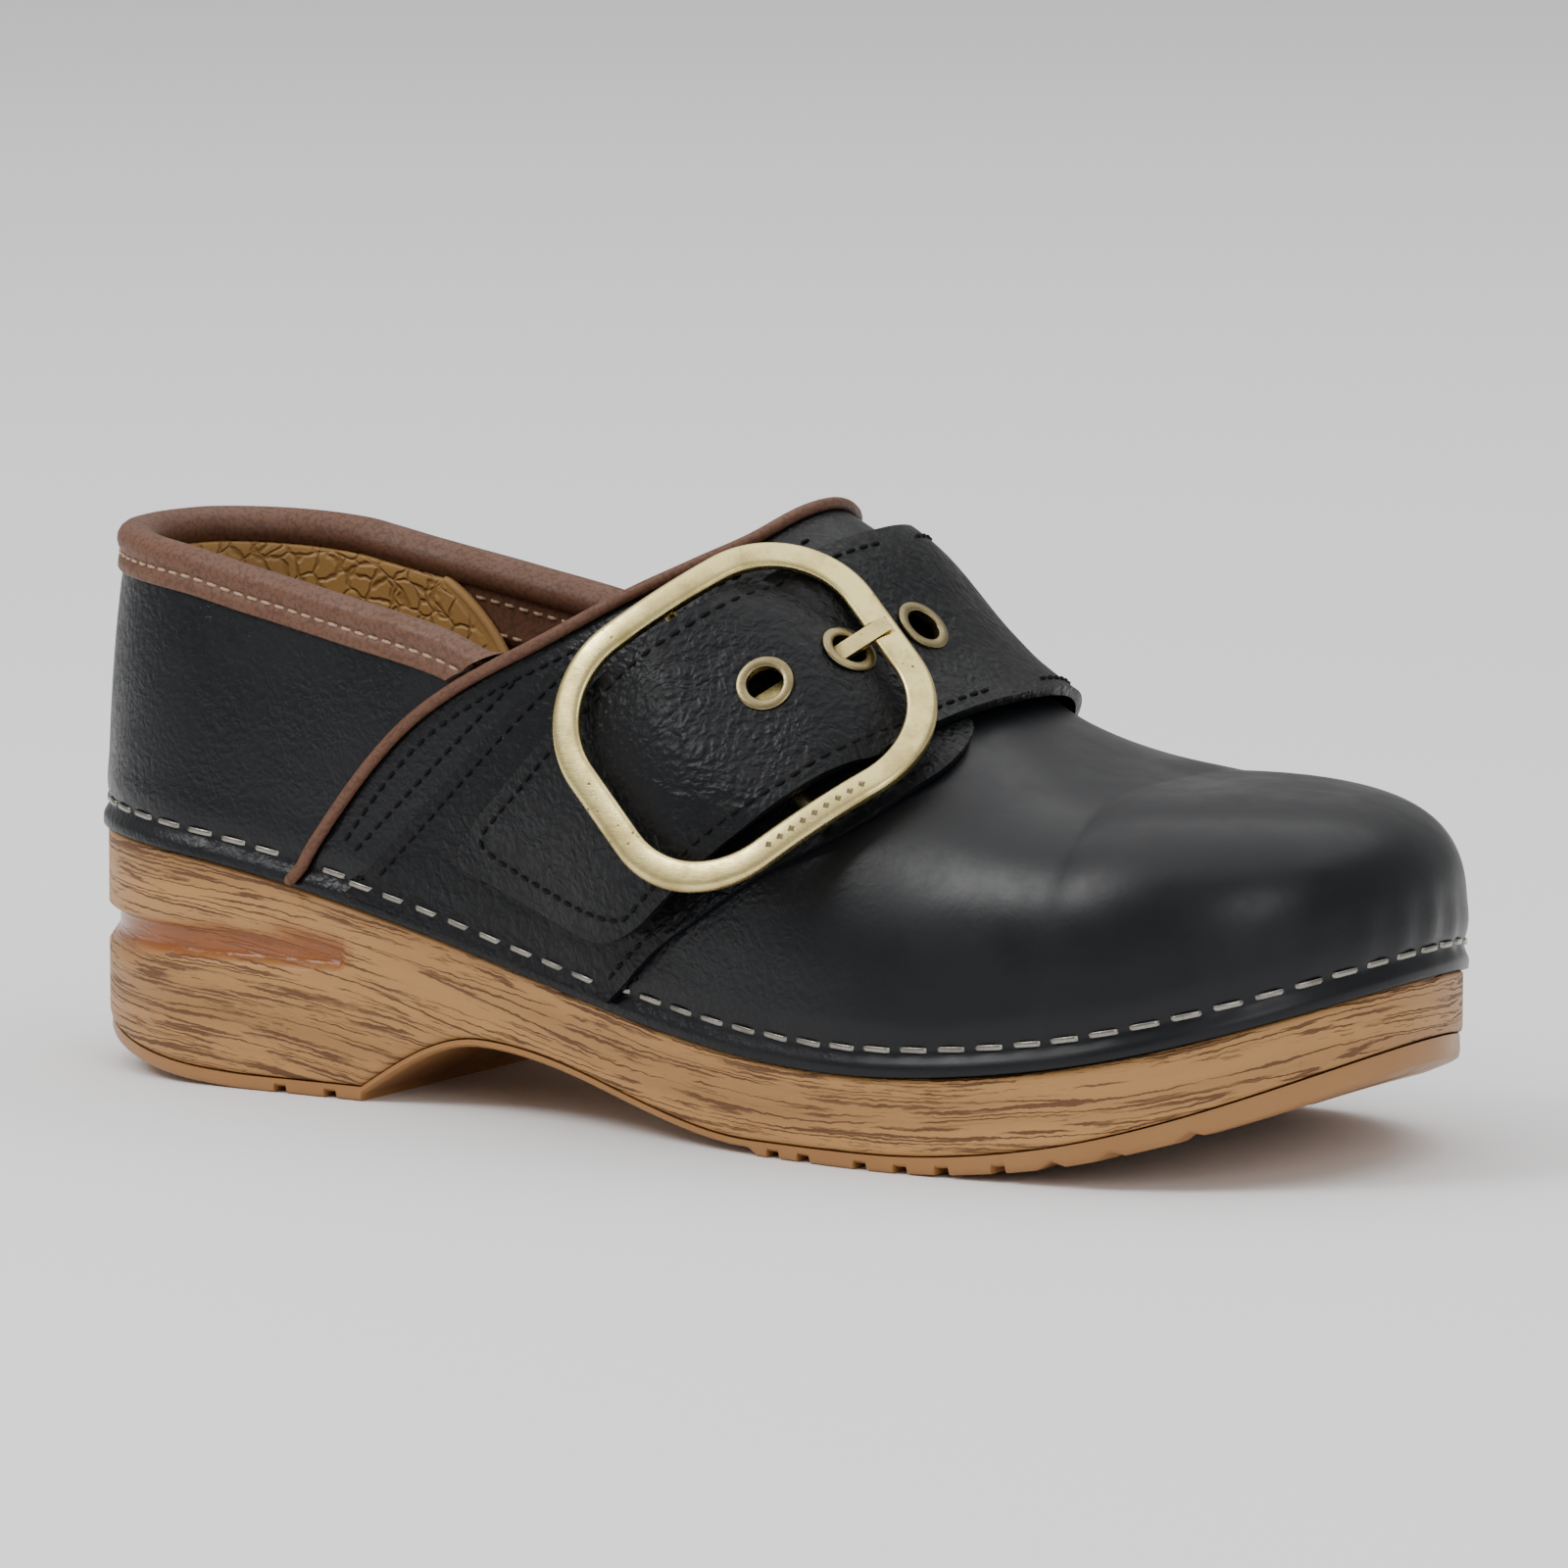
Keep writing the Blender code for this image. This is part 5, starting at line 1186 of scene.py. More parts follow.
@dataclass
class Seam:
    """A row of stitches that lies on the leather along a run of points."""

    pitch: float = 2.9 * MM
    length: float = 2.1 * MM
    radius: float = 0.34 * MM
    sides: int = 6
    sink: float = 0.12 * MM
    runs: list[tuple[Row, Row]] = field(default_factory=list)

    def add(self, points: Row, normals: Row) -> None:
        """Add a run of points with the surface's normals there."""
        self.runs.append((points, normals))

    def stitch(self, shape: bmesh.types.BMesh, middle: Vector, along: Vector, normal: Vector) -> None:
        """Add one stitch, which dips into the leather at both ends.

        Args:
            shape: The mesh that it is added to.
            middle: The stitch's middle, on the surface.
            along: Its direction.
            normal: The surface's normal.
        """
        across = normal.cross(along).normalized()
        rings = []
        for share, thick in ((-1.0, 0.35), (-0.78, 0.85), (-0.3, 1.0), (0.3, 1.0), (0.78, 0.85),
                             (1.0, 0.35)):
            centre = middle + along * share * self.length / 2
            centre += normal * (self.radius - self.sink - abs(share) ** 3 * self.radius * 1.1)
            rings.append([shape.verts.new(centre + (across * a + normal * b * 0.8) * self.radius * thick)
                          for a, b in circle(self.sides)])
        bridge(shape, rings)

    def mesh(self, name: str) -> Mesh:
        """Mesh of all the stitches of all the runs."""
        shape = bmesh.new()
        for points, normals in self.runs:
            left = self.pitch / 2
            for start, end, normal in zip(points, points[1:], normals):
                step = end - start
                while left < step.length:
                    self.stitch(shape, start + step.normalized() * left, step.normalized(), normal)
                    left += self.pitch
                left -= step.length
        bmesh.ops.recalc_face_normals(shape, faces=shape.faces)
        return finished(shape, name)


def steps_between(low: float, high: float, count: int) -> list[float]:
    """Even steps from low to high, both ends included."""
    return [low + (high - low) * i / count for i in range(count + 1)]


# ---------------------------------------------------------------- sole


@dataclass
class SoleUnit:
    """The wood-look sole body and the walking sole under it."""

    edge_round: float = 1.3 * MM
    seat_gap: float = 0.45 * MM
    groove_height: float = 25.5 * MM
    groove_half: float = 3.6 * MM
    groove_depth: float = 2.0 * MM
    groove_end: float = 0.262
    tread_gap: float = 0.15 * MM
    tread_inset: float = 0.5 * MM
    lip: float = 1.3 * MM
    cut_half: float = 1.2 * MM
    cut_depth: float = 1.2 * MM
    cuts: tuple[float, ...] = (0.205, 0.245, 0.62, 0.645, 0.69, 0.72, 0.75, 0.79, 0.83, 0.87, 0.91)
    fan_steps: int = 56

    def stations(self) -> list[float]:
        """Distances along a side, closer together at the breast and at the tread's cuts."""
        marks = set(steps_between(FORM.heel_centre, FORM.toe_centre, 84))
        breast = FORM.heel_breast * FORM.length
        marks.update((breast - 0.1 * MM, breast + 0.1 * MM))
        marks.update(breast + step * MM for step in (1, 2.2, 3.6, 5))
        for cut in self.cuts:
            x = cut * FORM.length
            if x < FORM.toe_centre - 2 * MM:
                marks.update((x - self.cut_half - 0.2 * MM, x - self.cut_half, x + self.cut_half,
                              x + self.cut_half + 0.2 * MM))
        return sorted(marks)

    def cut_at(self, x: float) -> float:
        """How far the tread is cut away at x."""
        for cut in self.cuts:
            if abs(x - cut * FORM.length) < self.cut_half + 0.05 * MM:
                return self.cut_depth
        return 0.0

    def ring(self, places: list[Place], height: Callable[[float], float], change: float = 0.0,
             share: float = 1.0) -> Row:
        """One ring round the shoe at a height that follows x."""
        points = []
        for place in places:
            point = FORM.outline(place, change, share)
            point.z = height(FORM.outline(place).x if share == 1.0 else point.x)
            points.append(point)
        return points

    def groove_share(self, x: float, z: float) -> float:
        """How deep the groove is at a point of the wall, from 0 to 1."""
        ahead = max(0.0, x / FORM.length - self.groove_end + 0.012) / 0.012
        reach = math.hypot(max(0.0, abs(z - self.groove_height) / self.groove_half), min(1.0, ahead))
        return 1 - ease((reach - 0.45) / 0.55) if ahead < 1 else 0.0

    def wall_ring(self, places: list[Place], share: float) -> Row:
        """A ring of the wall, pressed in where the groove runs round the heel."""
        points = []
        for place in places:
            plain = FORM.outline(place)
            low = FORM.sole_bottom(plain.x) + self.edge_round
            high = FORM.seat_height(plain.x) - self.seat_gap - 0.5 * MM
            z = low + (high - low) * share
            point = FORM.outline(place, -self.groove_depth * self.groove_share(plain.x, z))
            point.z = z
            points.append(point)
        return points

    def build_body(self) -> None:
        """Build the sole body and its wood look."""
        places = FORM.all_round(self.stations(), self.fan_steps)

        def top(x: float) -> float:
            """Height of the body's top face at x."""
            return FORM.seat_height(x) - self.seat_gap

        rings = [self.ring(places, FORM.sole_bottom, share=share) for share in (0, 0.4, 0.75, 0.92)]
        for turn in (0, 30, 60):
            sunk = self.edge_round * (1 - math.sin(math.radians(turn)))
            lifted = self.edge_round * (1 - math.cos(math.radians(turn)))
            rings.append(self.ring(places, lambda x, lifted=lifted: FORM.sole_bottom(x) + lifted, -sunk))
        low = FORM.tread + self.edge_round
        high = FORM.heel_seat - self.seat_gap - 0.5 * MM
        levels = [low, 6 * MM, 10 * MM, 14 * MM, 18 * MM, 21.5 * MM]
        levels += steps_between(22.6 * MM, 28.4 * MM, 14) + [29.5 * MM, 32 * MM, 36 * MM, 39.5 * MM, high]
        rings += [self.wall_ring(places, (level - low) / (high - low)) for level in levels]
        rings.append(self.ring(places, top, -0.5 * MM))
        rings += [self.ring(places, top, share=share) for share in (0.9, 0.5, 0)]
        mesh = loft("sole_look", rings, closed=True)
        store = mesh.attributes.new("grain_place", "FLOAT_VECTOR", "POINT")
        for vertex in mesh.vertices:
            x, y, z = vertex.co
            bent = z - 0.82 * FORM.seat_height(x)
            store.data[vertex.index].vector = (self.along(vertex.co), bent, y)
        paint(mesh, "groove_mask", lambda spot: self.groove_share(spot.x, spot.z))
        add_piece("sole_look", mesh, WOOD_LOOK, ("sole_body",))

    def along(self, point: Vector) -> float:
        """Distance of a point from the toe's tip along the outline, for the grain to follow."""
        if point.x > FORM.toe_centre:
            turn = math.atan2(abs(point.y), point.x - FORM.toe_centre)
            return turn * FORM.toe_reach_tip
        turned = math.pi / 2 * FORM.toe_reach_tip
        if point.x > FORM.heel_centre:
            return turned + FORM.toe_centre - point.x
        turn = math.atan2(FORM.heel_centre - point.x, abs(point.y))
        return turned + FORM.toe_centre - FORM.heel_centre + turn * FORM.heel_radius

    def build_tread(self) -> None:
        """Build the walking sole with its cuts and the thin lip under the arch."""
        places = FORM.all_round(self.stations(), self.fan_steps)
        breast, end = FORM.heel_breast * FORM.length, FORM.arch_end * FORM.length

        def top(x: float) -> float:
            """Height of the walking sole's top face at x."""
            return FORM.sole_bottom(x) - self.tread_gap

        def under(x: float) -> float:
            """Height of the walking surface at x."""
            ground = FORM.tread_rise(x)
            if breast < x < end:
                ground = max(ground, top(x) - self.lip)
            return ground + self.cut_at(x)

        inset = -self.tread_inset
        rings = [self.ring(places, top, share=share) for share in (0, 0.5, 0.9)]
        rings.append(self.ring(places, top, inset))
        rings.append(self.ring(places, lambda x: top(x) * 0.35 + under(x) * 0.65, inset + 0.1 * MM))
        rings.append(self.ring(places, lambda x: under(x) + 0.35 * MM, inset - 0.1 * MM))
        rings.append(self.ring(places, under, inset - 0.6 * MM))
        rings += [self.ring(places, under, share=share) for share in (0.9, 0.5, 0)]
        mesh = loft("outsole_look", rings, closed=True)
        mesh.set_sharp_from_angle(angle=math.radians(50))
        add_piece("outsole_look", mesh, OUTSOLE_RUBBER, ("outsole",))

    def build_sock(self) -> None:
        """Build the padded insole that fills the tray, turned up at its edge."""
        places = FORM.all_round(steps_between(FORM.heel_centre, FORM.toe_centre, 40), 32)
        rings = []
        for share, lift in ((0, 7.6), (0.45, 7.8), (0.78, 7.9), (0.92, 8.1), (0.98, 8.7), (1.0, 8.9)):
            rings.append(self.ring(places, lambda x, lift=lift: FORM.seat_height(x) + lift * MM, -4.6 * MM,
                                   share))
        for share, lift in ((1.0, 8.2), (0.8, 3.2), (0, 2.6)):
            rings.append(self.ring(places, lambda x, lift=lift: FORM.seat_height(x) + lift * MM, -5.0 * MM,
                                   share))
        mesh = loft("insole", rings, closed=True)
        insole = add_piece("insole", mesh, SOCK_LEATHER,
                           ("footbed", "sock_lining", "inner_frame"))
        seam = Seam(pitch=3.4 * MM, length=2.3 * MM)
        line = self.ring(places, lambda x: FORM.seat_height(x) + 8.1 * MM, -4.6 * MM, 0.9)
        seam.add(line + line[:1], [Vector((0, 0, 1))] * len(line))
        add_piece("insole_stitching", seam.mesh("insole_stitching"), PALE_THREAD)

    def build(self) -> None:
        """Build the whole unit."""
        self.build_body()
        self.build_tread()
        self.build_sock()


# ---------------------------------------------------------------- upper


@dataclass
class Upper:
    """The vamp and the quarter, with their linings, piping, margin and stitch rows."""

    thickness: float = 1.5 * MM
    seam_gap: float = 0.6 * MM
    collar_hidden: float = 3 * MM
    piping_radius: float = 1.1 * MM
    piping_sink: float = 0.35 * MM
    cup_front: float = 0.245
    cup_lean: float = 0.054
    cup_floor: float = 8.3 * MM
    cup_drop: float = 5.6 * MM
    cup_offset: float = -4.2 * MM
    low_heights: tuple[float, ...] = (0, 0.6, 1.2, 1.8, 2.4, 3.0, 3.5, 4.0, 4.5, 5.0, 5.5, 6.2, 7.2, 8.4,
                                      10, 12)
    vamp_turns: int = 34
    side_steps: int = 78
    toe_steps: int = 88

    def vamp_rise(self, place: Place, row: int) -> float:
        """Rise of a row of the vamp at a place: by height near the seat, then evenly round the section."""
        seat = FORM.seat_of(place)
        crest, power = FORM.form_at(place)[3:]
        if row < len(self.low_heights):
            return self.low_heights[row] * MM / (crest - seat)
        first = math.asin((self.low_heights[-1] * MM / (crest - seat)) ** (power / 2))
        share = (row - len(self.low_heights) + 1) / self.vamp_turns
        return math.sin(first + (math.pi / 2 - first) * share) ** (2 / power)

    def vamp_edge(self, row: int, side: int, inset: float) -> float:
        """Where a row meets the throat line on one side."""
        x = FORM.throat_x(0.2)
        for _ in range(12):
            x = (x + FORM.throat_x(self.vamp_rise(Place(Zone.SIDE, x, side), row)) + inset) / 2
        return x

    def vamp_rows(self, offset: float, inset: float, shaped: bool) -> list[Row]:
        """Rows of points over the vamp, from the lateral throat edge over the toe to the medial one.

        Args:
            offset: Offset from the outside of the upper.
            inset: How far ahead of the throat line the edge lies.
            shaped: Whether the margin is shaped by the staples.

        Returns:
            One row of points for each height.
        """
        count = len(self.low_heights) + self.vamp_turns
        rows = []
        for row in range(count):
            places = []
            for side in (-1, 1):
                edge = self.vamp_edge(row, side, inset)
                places.append([Place(Zone.SIDE, x, side) for x in
                               steps_between(edge, FORM.toe_centre, self.side_steps)])
            line = places[0] + FORM.fan(Zone.TOE, self.toe_steps) + list(reversed(places[1]))
            points = []
            for place in line:
                rise = self.vamp_rise(place, row)
                points.append((on_leather if shaped else FORM.upper)(place, rise, offset))
            rows.append(points)
        return rows

    def sheet(self, name: str, rows: list[Row], thickness: float, finish: Finish,
              nodes: Sequence[str], bevel: float = 0.0) -> Object:
        """Make a sheet that grows inwards from its surface."""
        mesh = loft(name, rows)
        face_out(mesh, away_from_spine)
        made = add_piece(name, mesh, finish, nodes)
        thicken(made, thickness, False, bevel)
        return made

    def quarter_line(self, height_of: Callable[[Place], float], clearance: float, sides: int = 44,
                     fan: int = 44) -> list[tuple[Place, float]]:
        """Places and rises along a line of the quarter, from one throat edge round the heel to the other.

        Args:
            height_of: Height of the line at a place.
            clearance: How far behind the throat line it ends.
            sides: Steps along each side.
            fan: Steps round the heel.

        Returns:
            (place, rise) pairs.
        """
        halves = []
        for side in (-1, 1):
            def miss(x: float, side: int = side) -> float:
                """How far x lies behind the throat line."""
                place = Place(Zone.SIDE, x, side)
                return x - FORM.throat_x(max(0.0, FORM.rise_at(place, height_of(place)))) + clearance
            edge = solve_rising(miss, FORM.heel_centre, FORM.instep_top)
            halves.append([Place(Zone.SIDE, x, side) for x in steps_between(edge, FORM.heel_centre, sides)])
        line = halves[0] + FORM.fan(Zone.HEEL, fan) + list(reversed(halves[1]))
        return [(place, FORM.rise_at(place, height_of(place))) for place in line]

    def collar_line(self, drop: float, offset: float, clearance: float = 2.6 * MM) -> Row:
        """Points along the collar at a drop below its top and an offset from the upper."""
        line = self.quarter_line(lambda place: FORM.collar_of(place) - drop, clearance, 50, 50)
        return [FORM.upper(place, rise, offset) for place, rise in line]

    def build_vamp(self) -> None:
        """Build the vamp and its lining."""
        self.sheet("vamp_look", self.vamp_rows(0.0, 0.0, True), self.thickness, BLACK_UPPER,
                   ("vamp",))
        lining = self.vamp_rows(-3.0 * MM, 1.2 * MM, False)
        self.sheet("vamp_lining_look", lining, 0.8 * MM, LINING_CLOTH, ("vamp_lining",))

    def build_quarter(self) -> None:
        """Build the quarter, its lining and the brown band under the collar."""
        count = 26
        rows = []
        for row in range(len(self.low_heights) + count):
            def height(place: Place, row: int = row) -> float:
                """Height of this row."""
                seat = FORM.seat_of(place)
                if row < len(self.low_heights):
                    return seat + self.low_heights[row] * MM
                low = seat + self.low_heights[-1] * MM
                top = FORM.collar_of(place) - self.collar_hidden
                return low + (top - low) * (row - len(self.low_heights) + 1) / count
            line = self.quarter_line(height, self.seam_gap)
            rows.append([FORM.upper(place, rise, margin(place, height(place) - FORM.seat_of(place)))
                         for place, rise in line])
        self.sheet("quarter_look", rows, self.thickness, BLACK_UPPER, ("quarter",))
        lining, band = [], []
        for share in steps_between(0, 1, 16):
            def lined(place: Place, share: float = share) -> float:
                """Height of this row of the lining."""
                seat = FORM.seat_of(place) + 1 * MM
                return seat + share * (FORM.collar_of(place) - 5.5 * MM - seat)
            lining.append([FORM.upper(place, rise, -2.05 * MM) for place, rise in
                           self.quarter_line(lined, -7 * MM, 24, 24)])
        self.sheet("quarter_lining_look", lining, 0.65 * MM, LINING_CLOTH,
                   ("quarter_lining",))
        for drop in (15.5, 13.5, 11.5, 9.5, 7.5, 5.5, 4.0):
            band.append(self.collar_line(drop * MM, -3.0 * MM, -3 * MM))
        self.sheet("collar_band", band, 0.8 * MM, BROWN_TRIM, ())

    def build_collar(self) -> None:
        """Build the padded roll with its flat strip below, and its two stitch rows."""
        section = ((8.2, 0.15), (8.2, 0.75), (7.9, 0.98), (7.0, 1.05), (6.0, 1.0), (5.5, 0.72), (5.2, 0.66),
                   (4.9, 0.84), (4.3, 1.35), (3.4, 1.72), (2.4, 1.75), (1.4, 1.35), (0.6, 0.55),
                   (0.12, -0.6),
                   (0.0, -1.9), (0.25, -3.2), (0.9, -4.4), (1.9, -5.3), (3.1, -5.7), (4.3, -5.6),
                   (5.3, -5.0),
                   (5.9, -4.4), (5.4, -3.9), (3.6, -3.4), (2.0, -2.2), (2.2, -0.8), (3.4, 0.1), (6.0, 0.15))
        rows = [self.collar_line(drop * MM, offset * MM) for drop, offset in section]
        mesh = loft("collar_roll", rows, ring=True)
        roll = add_piece("collar_roll", mesh, BROWN_TRIM,
                         ("collar_binding", "collar_padding"))
        outer, inner = Seam(pitch=3.0 * MM, length=2.2 * MM, radius=0.3 * MM), Seam(pitch=3.0 * MM,
                                                                                    length=2.1 * MM)
        line = self.quarter_line(lambda place: FORM.collar_of(place) - 5.35 * MM, 2.8 * MM, 50, 50)
        outer.add([FORM.upper(place, rise, 0.72 * MM) for place, rise in line],
                  [FORM.normal(place, rise) for place, rise in line])
        add_piece("collar_stitching", outer.mesh("collar_stitching"), PALE_THREAD)
        for drop in (8.0, 14.0):
            line = self.quarter_line(lambda place, drop=drop: FORM.collar_of(place) - drop * MM,
                                     -2 * MM, 50, 50)
            inner.add([FORM.upper(place, rise, -3.8 * MM) for place, rise in line],
                      [-FORM.normal(place, rise) for place, rise in line])
        add_piece("band_stitching", inner.mesh("band_stitching"), PALE_THREAD)

    def build_piping(self) -> None:
        """Build the piping over the vamp's rear edge, sunk a little into the leather."""
        lift = self.piping_radius - self.piping_sink
        rises = [math.sin(turn) for turn in steps_between(0.012, math.pi / 2, 60)]
        line = []
        for side, order in ((-1, rises), (1, list(reversed(rises))[1:])):
            for rise in order:
                place = Place(Zone.SIDE, FORM.throat_x(rise) - 0.3 * MM, side)
                line.append(on_leather(place, rise, lift))
        add_piece("piping", tube_mesh("piping", line, self.piping_radius, 14), BROWN_TRIM,
                  ("vamp_binding",))

    def cup_edge(self, share: float) -> float:
        """Where the cup's front edge is at a share of its height."""
        return FORM.length * (self.cup_front - self.cup_lean * share ** 4)

    def build_cup(self) -> None:
        """Build the heel cup: cobbled skin, a smooth rim and a bead along its front edges."""
        heights = steps_between(0, 1, 18)

        def column(place: Place, reach: float) -> Row:
            """Points of one column of the cup, at a share of the way from the heel fan to its front edge."""
            points = []
            for share in heights:
                spot = place
                if place.zone is Zone.SIDE:
                    ahead = (self.cup_edge(share) - FORM.heel_centre) * reach
                    spot = place._replace(value=FORM.heel_centre + ahead)
                low = FORM.seat_of(spot) + self.cup_floor
                top = FORM.collar_of(spot) - self.cup_drop
                points.append(FORM.upper(spot, FORM.rise_at(spot, low + share * (top - low)),
                                         self.cup_offset))
            return points

        columns = [[column(Place(Zone.SIDE, FORM.heel_centre, side), 1 - i / 24) for i in range(25)]
                   for side in (-1, 1)]
        rows = columns[0] + [column(place, 0) for place in FORM.fan(Zone.HEEL, 40)]
        rows += list(reversed(columns[1]))
        mesh = loft("heel_cup", rows)
        face_out(mesh, away_from_spine)

        def patterned(point: Vector) -> float:
            """1 where the cobbles show, 0 on the smooth rim."""
            side = max(FORM.heel_centre, point.x)
            high = FORM.collar_top(point.x) - self.cup_drop - FORM.seat_height(side) - self.cup_floor
            share = min(1.0, max(0.0, (point.z - FORM.seat_height(side) - self.cup_floor) / high))
            return ease((self.cup_edge(share) - point.x - 2.6 * MM) / (1.2 * MM))

        paint(mesh, "pattern_mask", patterned)
        cup = add_piece("heel_cup", mesh, CUP_RUBBER, ("heel_counter",))
        thicken(cup, 1.5 * MM, False, 0.4 * MM)
        for end, name in ((0, "cup_bead_lateral"), (-1, "cup_bead_medial")):
            spine = [point - away_from_spine(point).normalized() * 0.7 * MM for point in rows[end]]
            bead = add_piece(name, tube_mesh(name, spine, 1.0 * MM), CUP_RUBBER)
            paint(bead.data, "pattern_mask", lambda _: 0.0)

    def build(self) -> None:
        """Build the whole upper."""
        self.build_vamp()
        self.build_quarter()
        self.build_collar()
        self.build_piping()
        self.build_cup()


# ---------------------------------------------------------------- strap, saddle and buckle


def cut_with(mesh: Mesh, cutters: Sequence[tuple[Mesh, Matrix]],
             wall: tuple[float, float] | None = None) -> Mesh:
    """Thicken a mesh if asked, cut shapes out of it, and round its cut edges.

    Args:
        mesh: The mesh to cut.
        cutters: Closed meshes, each with its place.
        wall: Thickness and edge rounding, for a sheet that grows outwards.

    Returns:
        The cut mesh.
    """
    body = put("cut_body", mesh)
    tools = []
    if wall:
        thicken(body, wall[0], True)
    for shape, matrix in cutters:
        tool = put("cut_tool", shape)
        tool.matrix_world = matrix
        tools.append(tool)
        cut = body.modifiers.new("cut", "BOOLEAN")
        cut.operation = "DIFFERENCE"
        cut.solver = "EXACT"
        cut.object = tool
    if wall:
        round_edges(body, wall[1], 2, 50)
    bpy.context.view_layer.update()
    ready = body.evaluated_get(bpy.context.evaluated_depsgraph_get())
    made = bpy.data.meshes.new_from_object(ready)
    for thing in (body, *tools):
        bpy.data.objects.remove(thing)
    made.shade_smooth()
    return made


def disc_rings(radius: float, half_height: float, sides: int = 40) -> list[Row]:
    """Rings of a closed round plug."""
    steps = ((0.0, -half_height), (radius, -half_height), (radius, half_height), (0.0, half_height))
    return [[Vector((reach * a, reach * b, height)) for a, b in circle(sides)] for reach, height in steps]


def block_rings(size: Sequence[float], centre: Sequence[float]) -> list[Row]:
    """Rings of a closed block."""
    corners = ((-1, -1), (1, -1), (1, 1), (-1, 1))
    rings = []
    for share, height in ((0.0, -1), (1.0, -1), (1.0, 1), (0.0, 1)):
        rings.append([Vector((centre[0] + share * a * size[0] / 2, centre[1] + share * b * size[1] / 2,
                              centre[2] + height * size[2] / 2)) for a, b in corners])
    return rings


@dataclass
class Fastening:
    """The strap, the saddle that carries the buckle, the buckle and its eyelets."""

    strap_width: float = 39 * MM
    strap_thickness: float = 1.8 * MM
    strap_place: float = 83.2 * MM
    strap_sweep: float = 10 * MM
    tip_rise: float = 0.150
    tip_round: float = 0.085
    rest_lift: float = 2.3 * MM
    medial_lift: float = 0.45 * MM
    over_bar: float = 3.0 * MM
    rear_shape: tuple[tuple[float, float], ...] = ((8 * MM, 4 * MM), (11.1 * MM, 13.5 * MM), (1.7, 1.5))
    fore_shape: tuple[tuple[float, float], ...] = ((6.5 * MM, 3 * MM), (16 * MM, 15.5 * MM), (3.0, 1.6))
    saddle_lift: float = 0.55 * MM
    saddle_thickness: float = 1.2 * MM
    saddle_top: float = 0.972
    saddle_corner: float = 0.12
    station: float = 0.585
    rise: float = 0.665
    lift: float = 6.6 * MM
    pitch: float = math.radians(14)
    roll: float = math.radians(5.6)
    half_length: float = 30.5 * MM
    half_width: float = 27.5 * MM
    corner: float = 19.7 * MM
    bend: float = 84 * MM
    band: float = 5 * MM
    frame_thickness: float = 2.6 * MM
    bar_depth: float = 3.1 * MM
    prong_width: float = 3.0 * MM
    prong_thickness: float = 1.1 * MM
    prong_drop: float = 0.2 * MM
    prong_inset: float = 1.3 * MM
    gap: float = 0.3 * MM
    eyelet_hole: float = 3.0 * MM
    eyelet_radius: float = 5.0 * MM
    eyelet_height: float = 0.38 * MM
    eyelet_places: tuple[float | None, ...] = (5.8 * MM, None, 35 * MM)
    eyelet_slack: float = 0.75
    stitch_line: float = 0.86
    saddle_rear: SmoothCurve = SmoothCurve(((0, 33 * MM), (0.5, 33.5 * MM), (0.75, 39 * MM),
                                            (0.85, 44 * MM),
                                            (0.94, 47 * MM)))
    saddle_front: SmoothCurve = SmoothCurve(((0, 104.4 * MM), (0.14, 105 * MM), (0.26, 108.4 * MM),
                                             (0.39, 112 * MM), (0.7, 120 * MM), (0.9, 121 * MM)))

    def __post_init__(self) -> None:
        """Work out where the buckle sits: X along the strap, Y across it, Z out of the shoe."""
        place = Place(Zone.SIDE, self.station * FORM.length, -1)
        normal = FORM.normal(place, self.rise)
        along = Vector((1, 0, -1)).normalized().cross(normal).normalized()
        if along.z < 0:
            along = -along
        base = Matrix((along, normal.cross(along), normal)).transposed()
        turned = base @ Matrix.Rotation(self.pitch, 3, "Y") @ Matrix.Rotation(self.roll, 3, "X")
        origin = FORM.point(place, self.rise) + normal * self.lift
        self.matrix = Matrix.Translation(origin) @ turned.to_4x4()
        self.inverse = self.matrix.inverted()
        self.bar = self.matrix @ Matrix.Translation((0, 0, -self.bar_depth))

    def level(self, u: float, v: float) -> float:
        """Height of the strap's inside in the buckle's frame, at u along it and v across it."""
        edge = min(1.0, (v / (self.strap_width / 2)) ** 2)
        shape = self.rear_shape if u < 0 else self.fore_shape
        flat, drop, power = (middle + (side - middle) * edge for middle, side in shape)
        past = max(0.0, abs(u) - flat) / (self.half_length - self.band / 2 - flat)
        return self.over_bar - self.bar_depth - drop * past ** power

    def lift_at(self, place: Place, rise: float) -> float:
        """Offset of the strap's inside from the upper."""
        if place.side > 0:
            return self.rest_lift + (self.medial_lift - self.rest_lift) * ease((1 - rise) / 0.2)
        base, normal = FORM.point(place, rise), FORM.normal(place, rise)
        if abs((self.inverse @ base).x) > 2 * self.half_length:
            return self.rest_lift

        def above(lift: float) -> float:
            """How far a lift stands above the strap's level."""
            point = self.inverse @ (base + normal * lift)
            return point.z - self.level(point.x, point.y)

        return max(self.rest_lift, solve_rising(above, 0, self.half_length, 18))

    def strand(self, across: float, rise: float, side: int, extra: float = 0.0) -> Vector:
        """Point on the strap.

        Args:
            across: From -1 at the rear edge to 1 at the toe side.
            rise: Share of the height from seat to crest.
            side: -1 on the lateral side, 1 on the medial side.
            extra: Height above the strap's inside.

        Returns:
            The point.
        """
        cross = self.strap_place - self.strap_sweep * (1 - rise) + across * self.strap_width / math.sqrt(2)
        place = FORM.band(cross, rise, side)
        pressed = 0.0
        if side > 0:
            pressed = margin(place, FORM.over_seat(place, rise))
        return FORM.upper(place, rise, self.lift_at(place, rise) + extra + pressed)

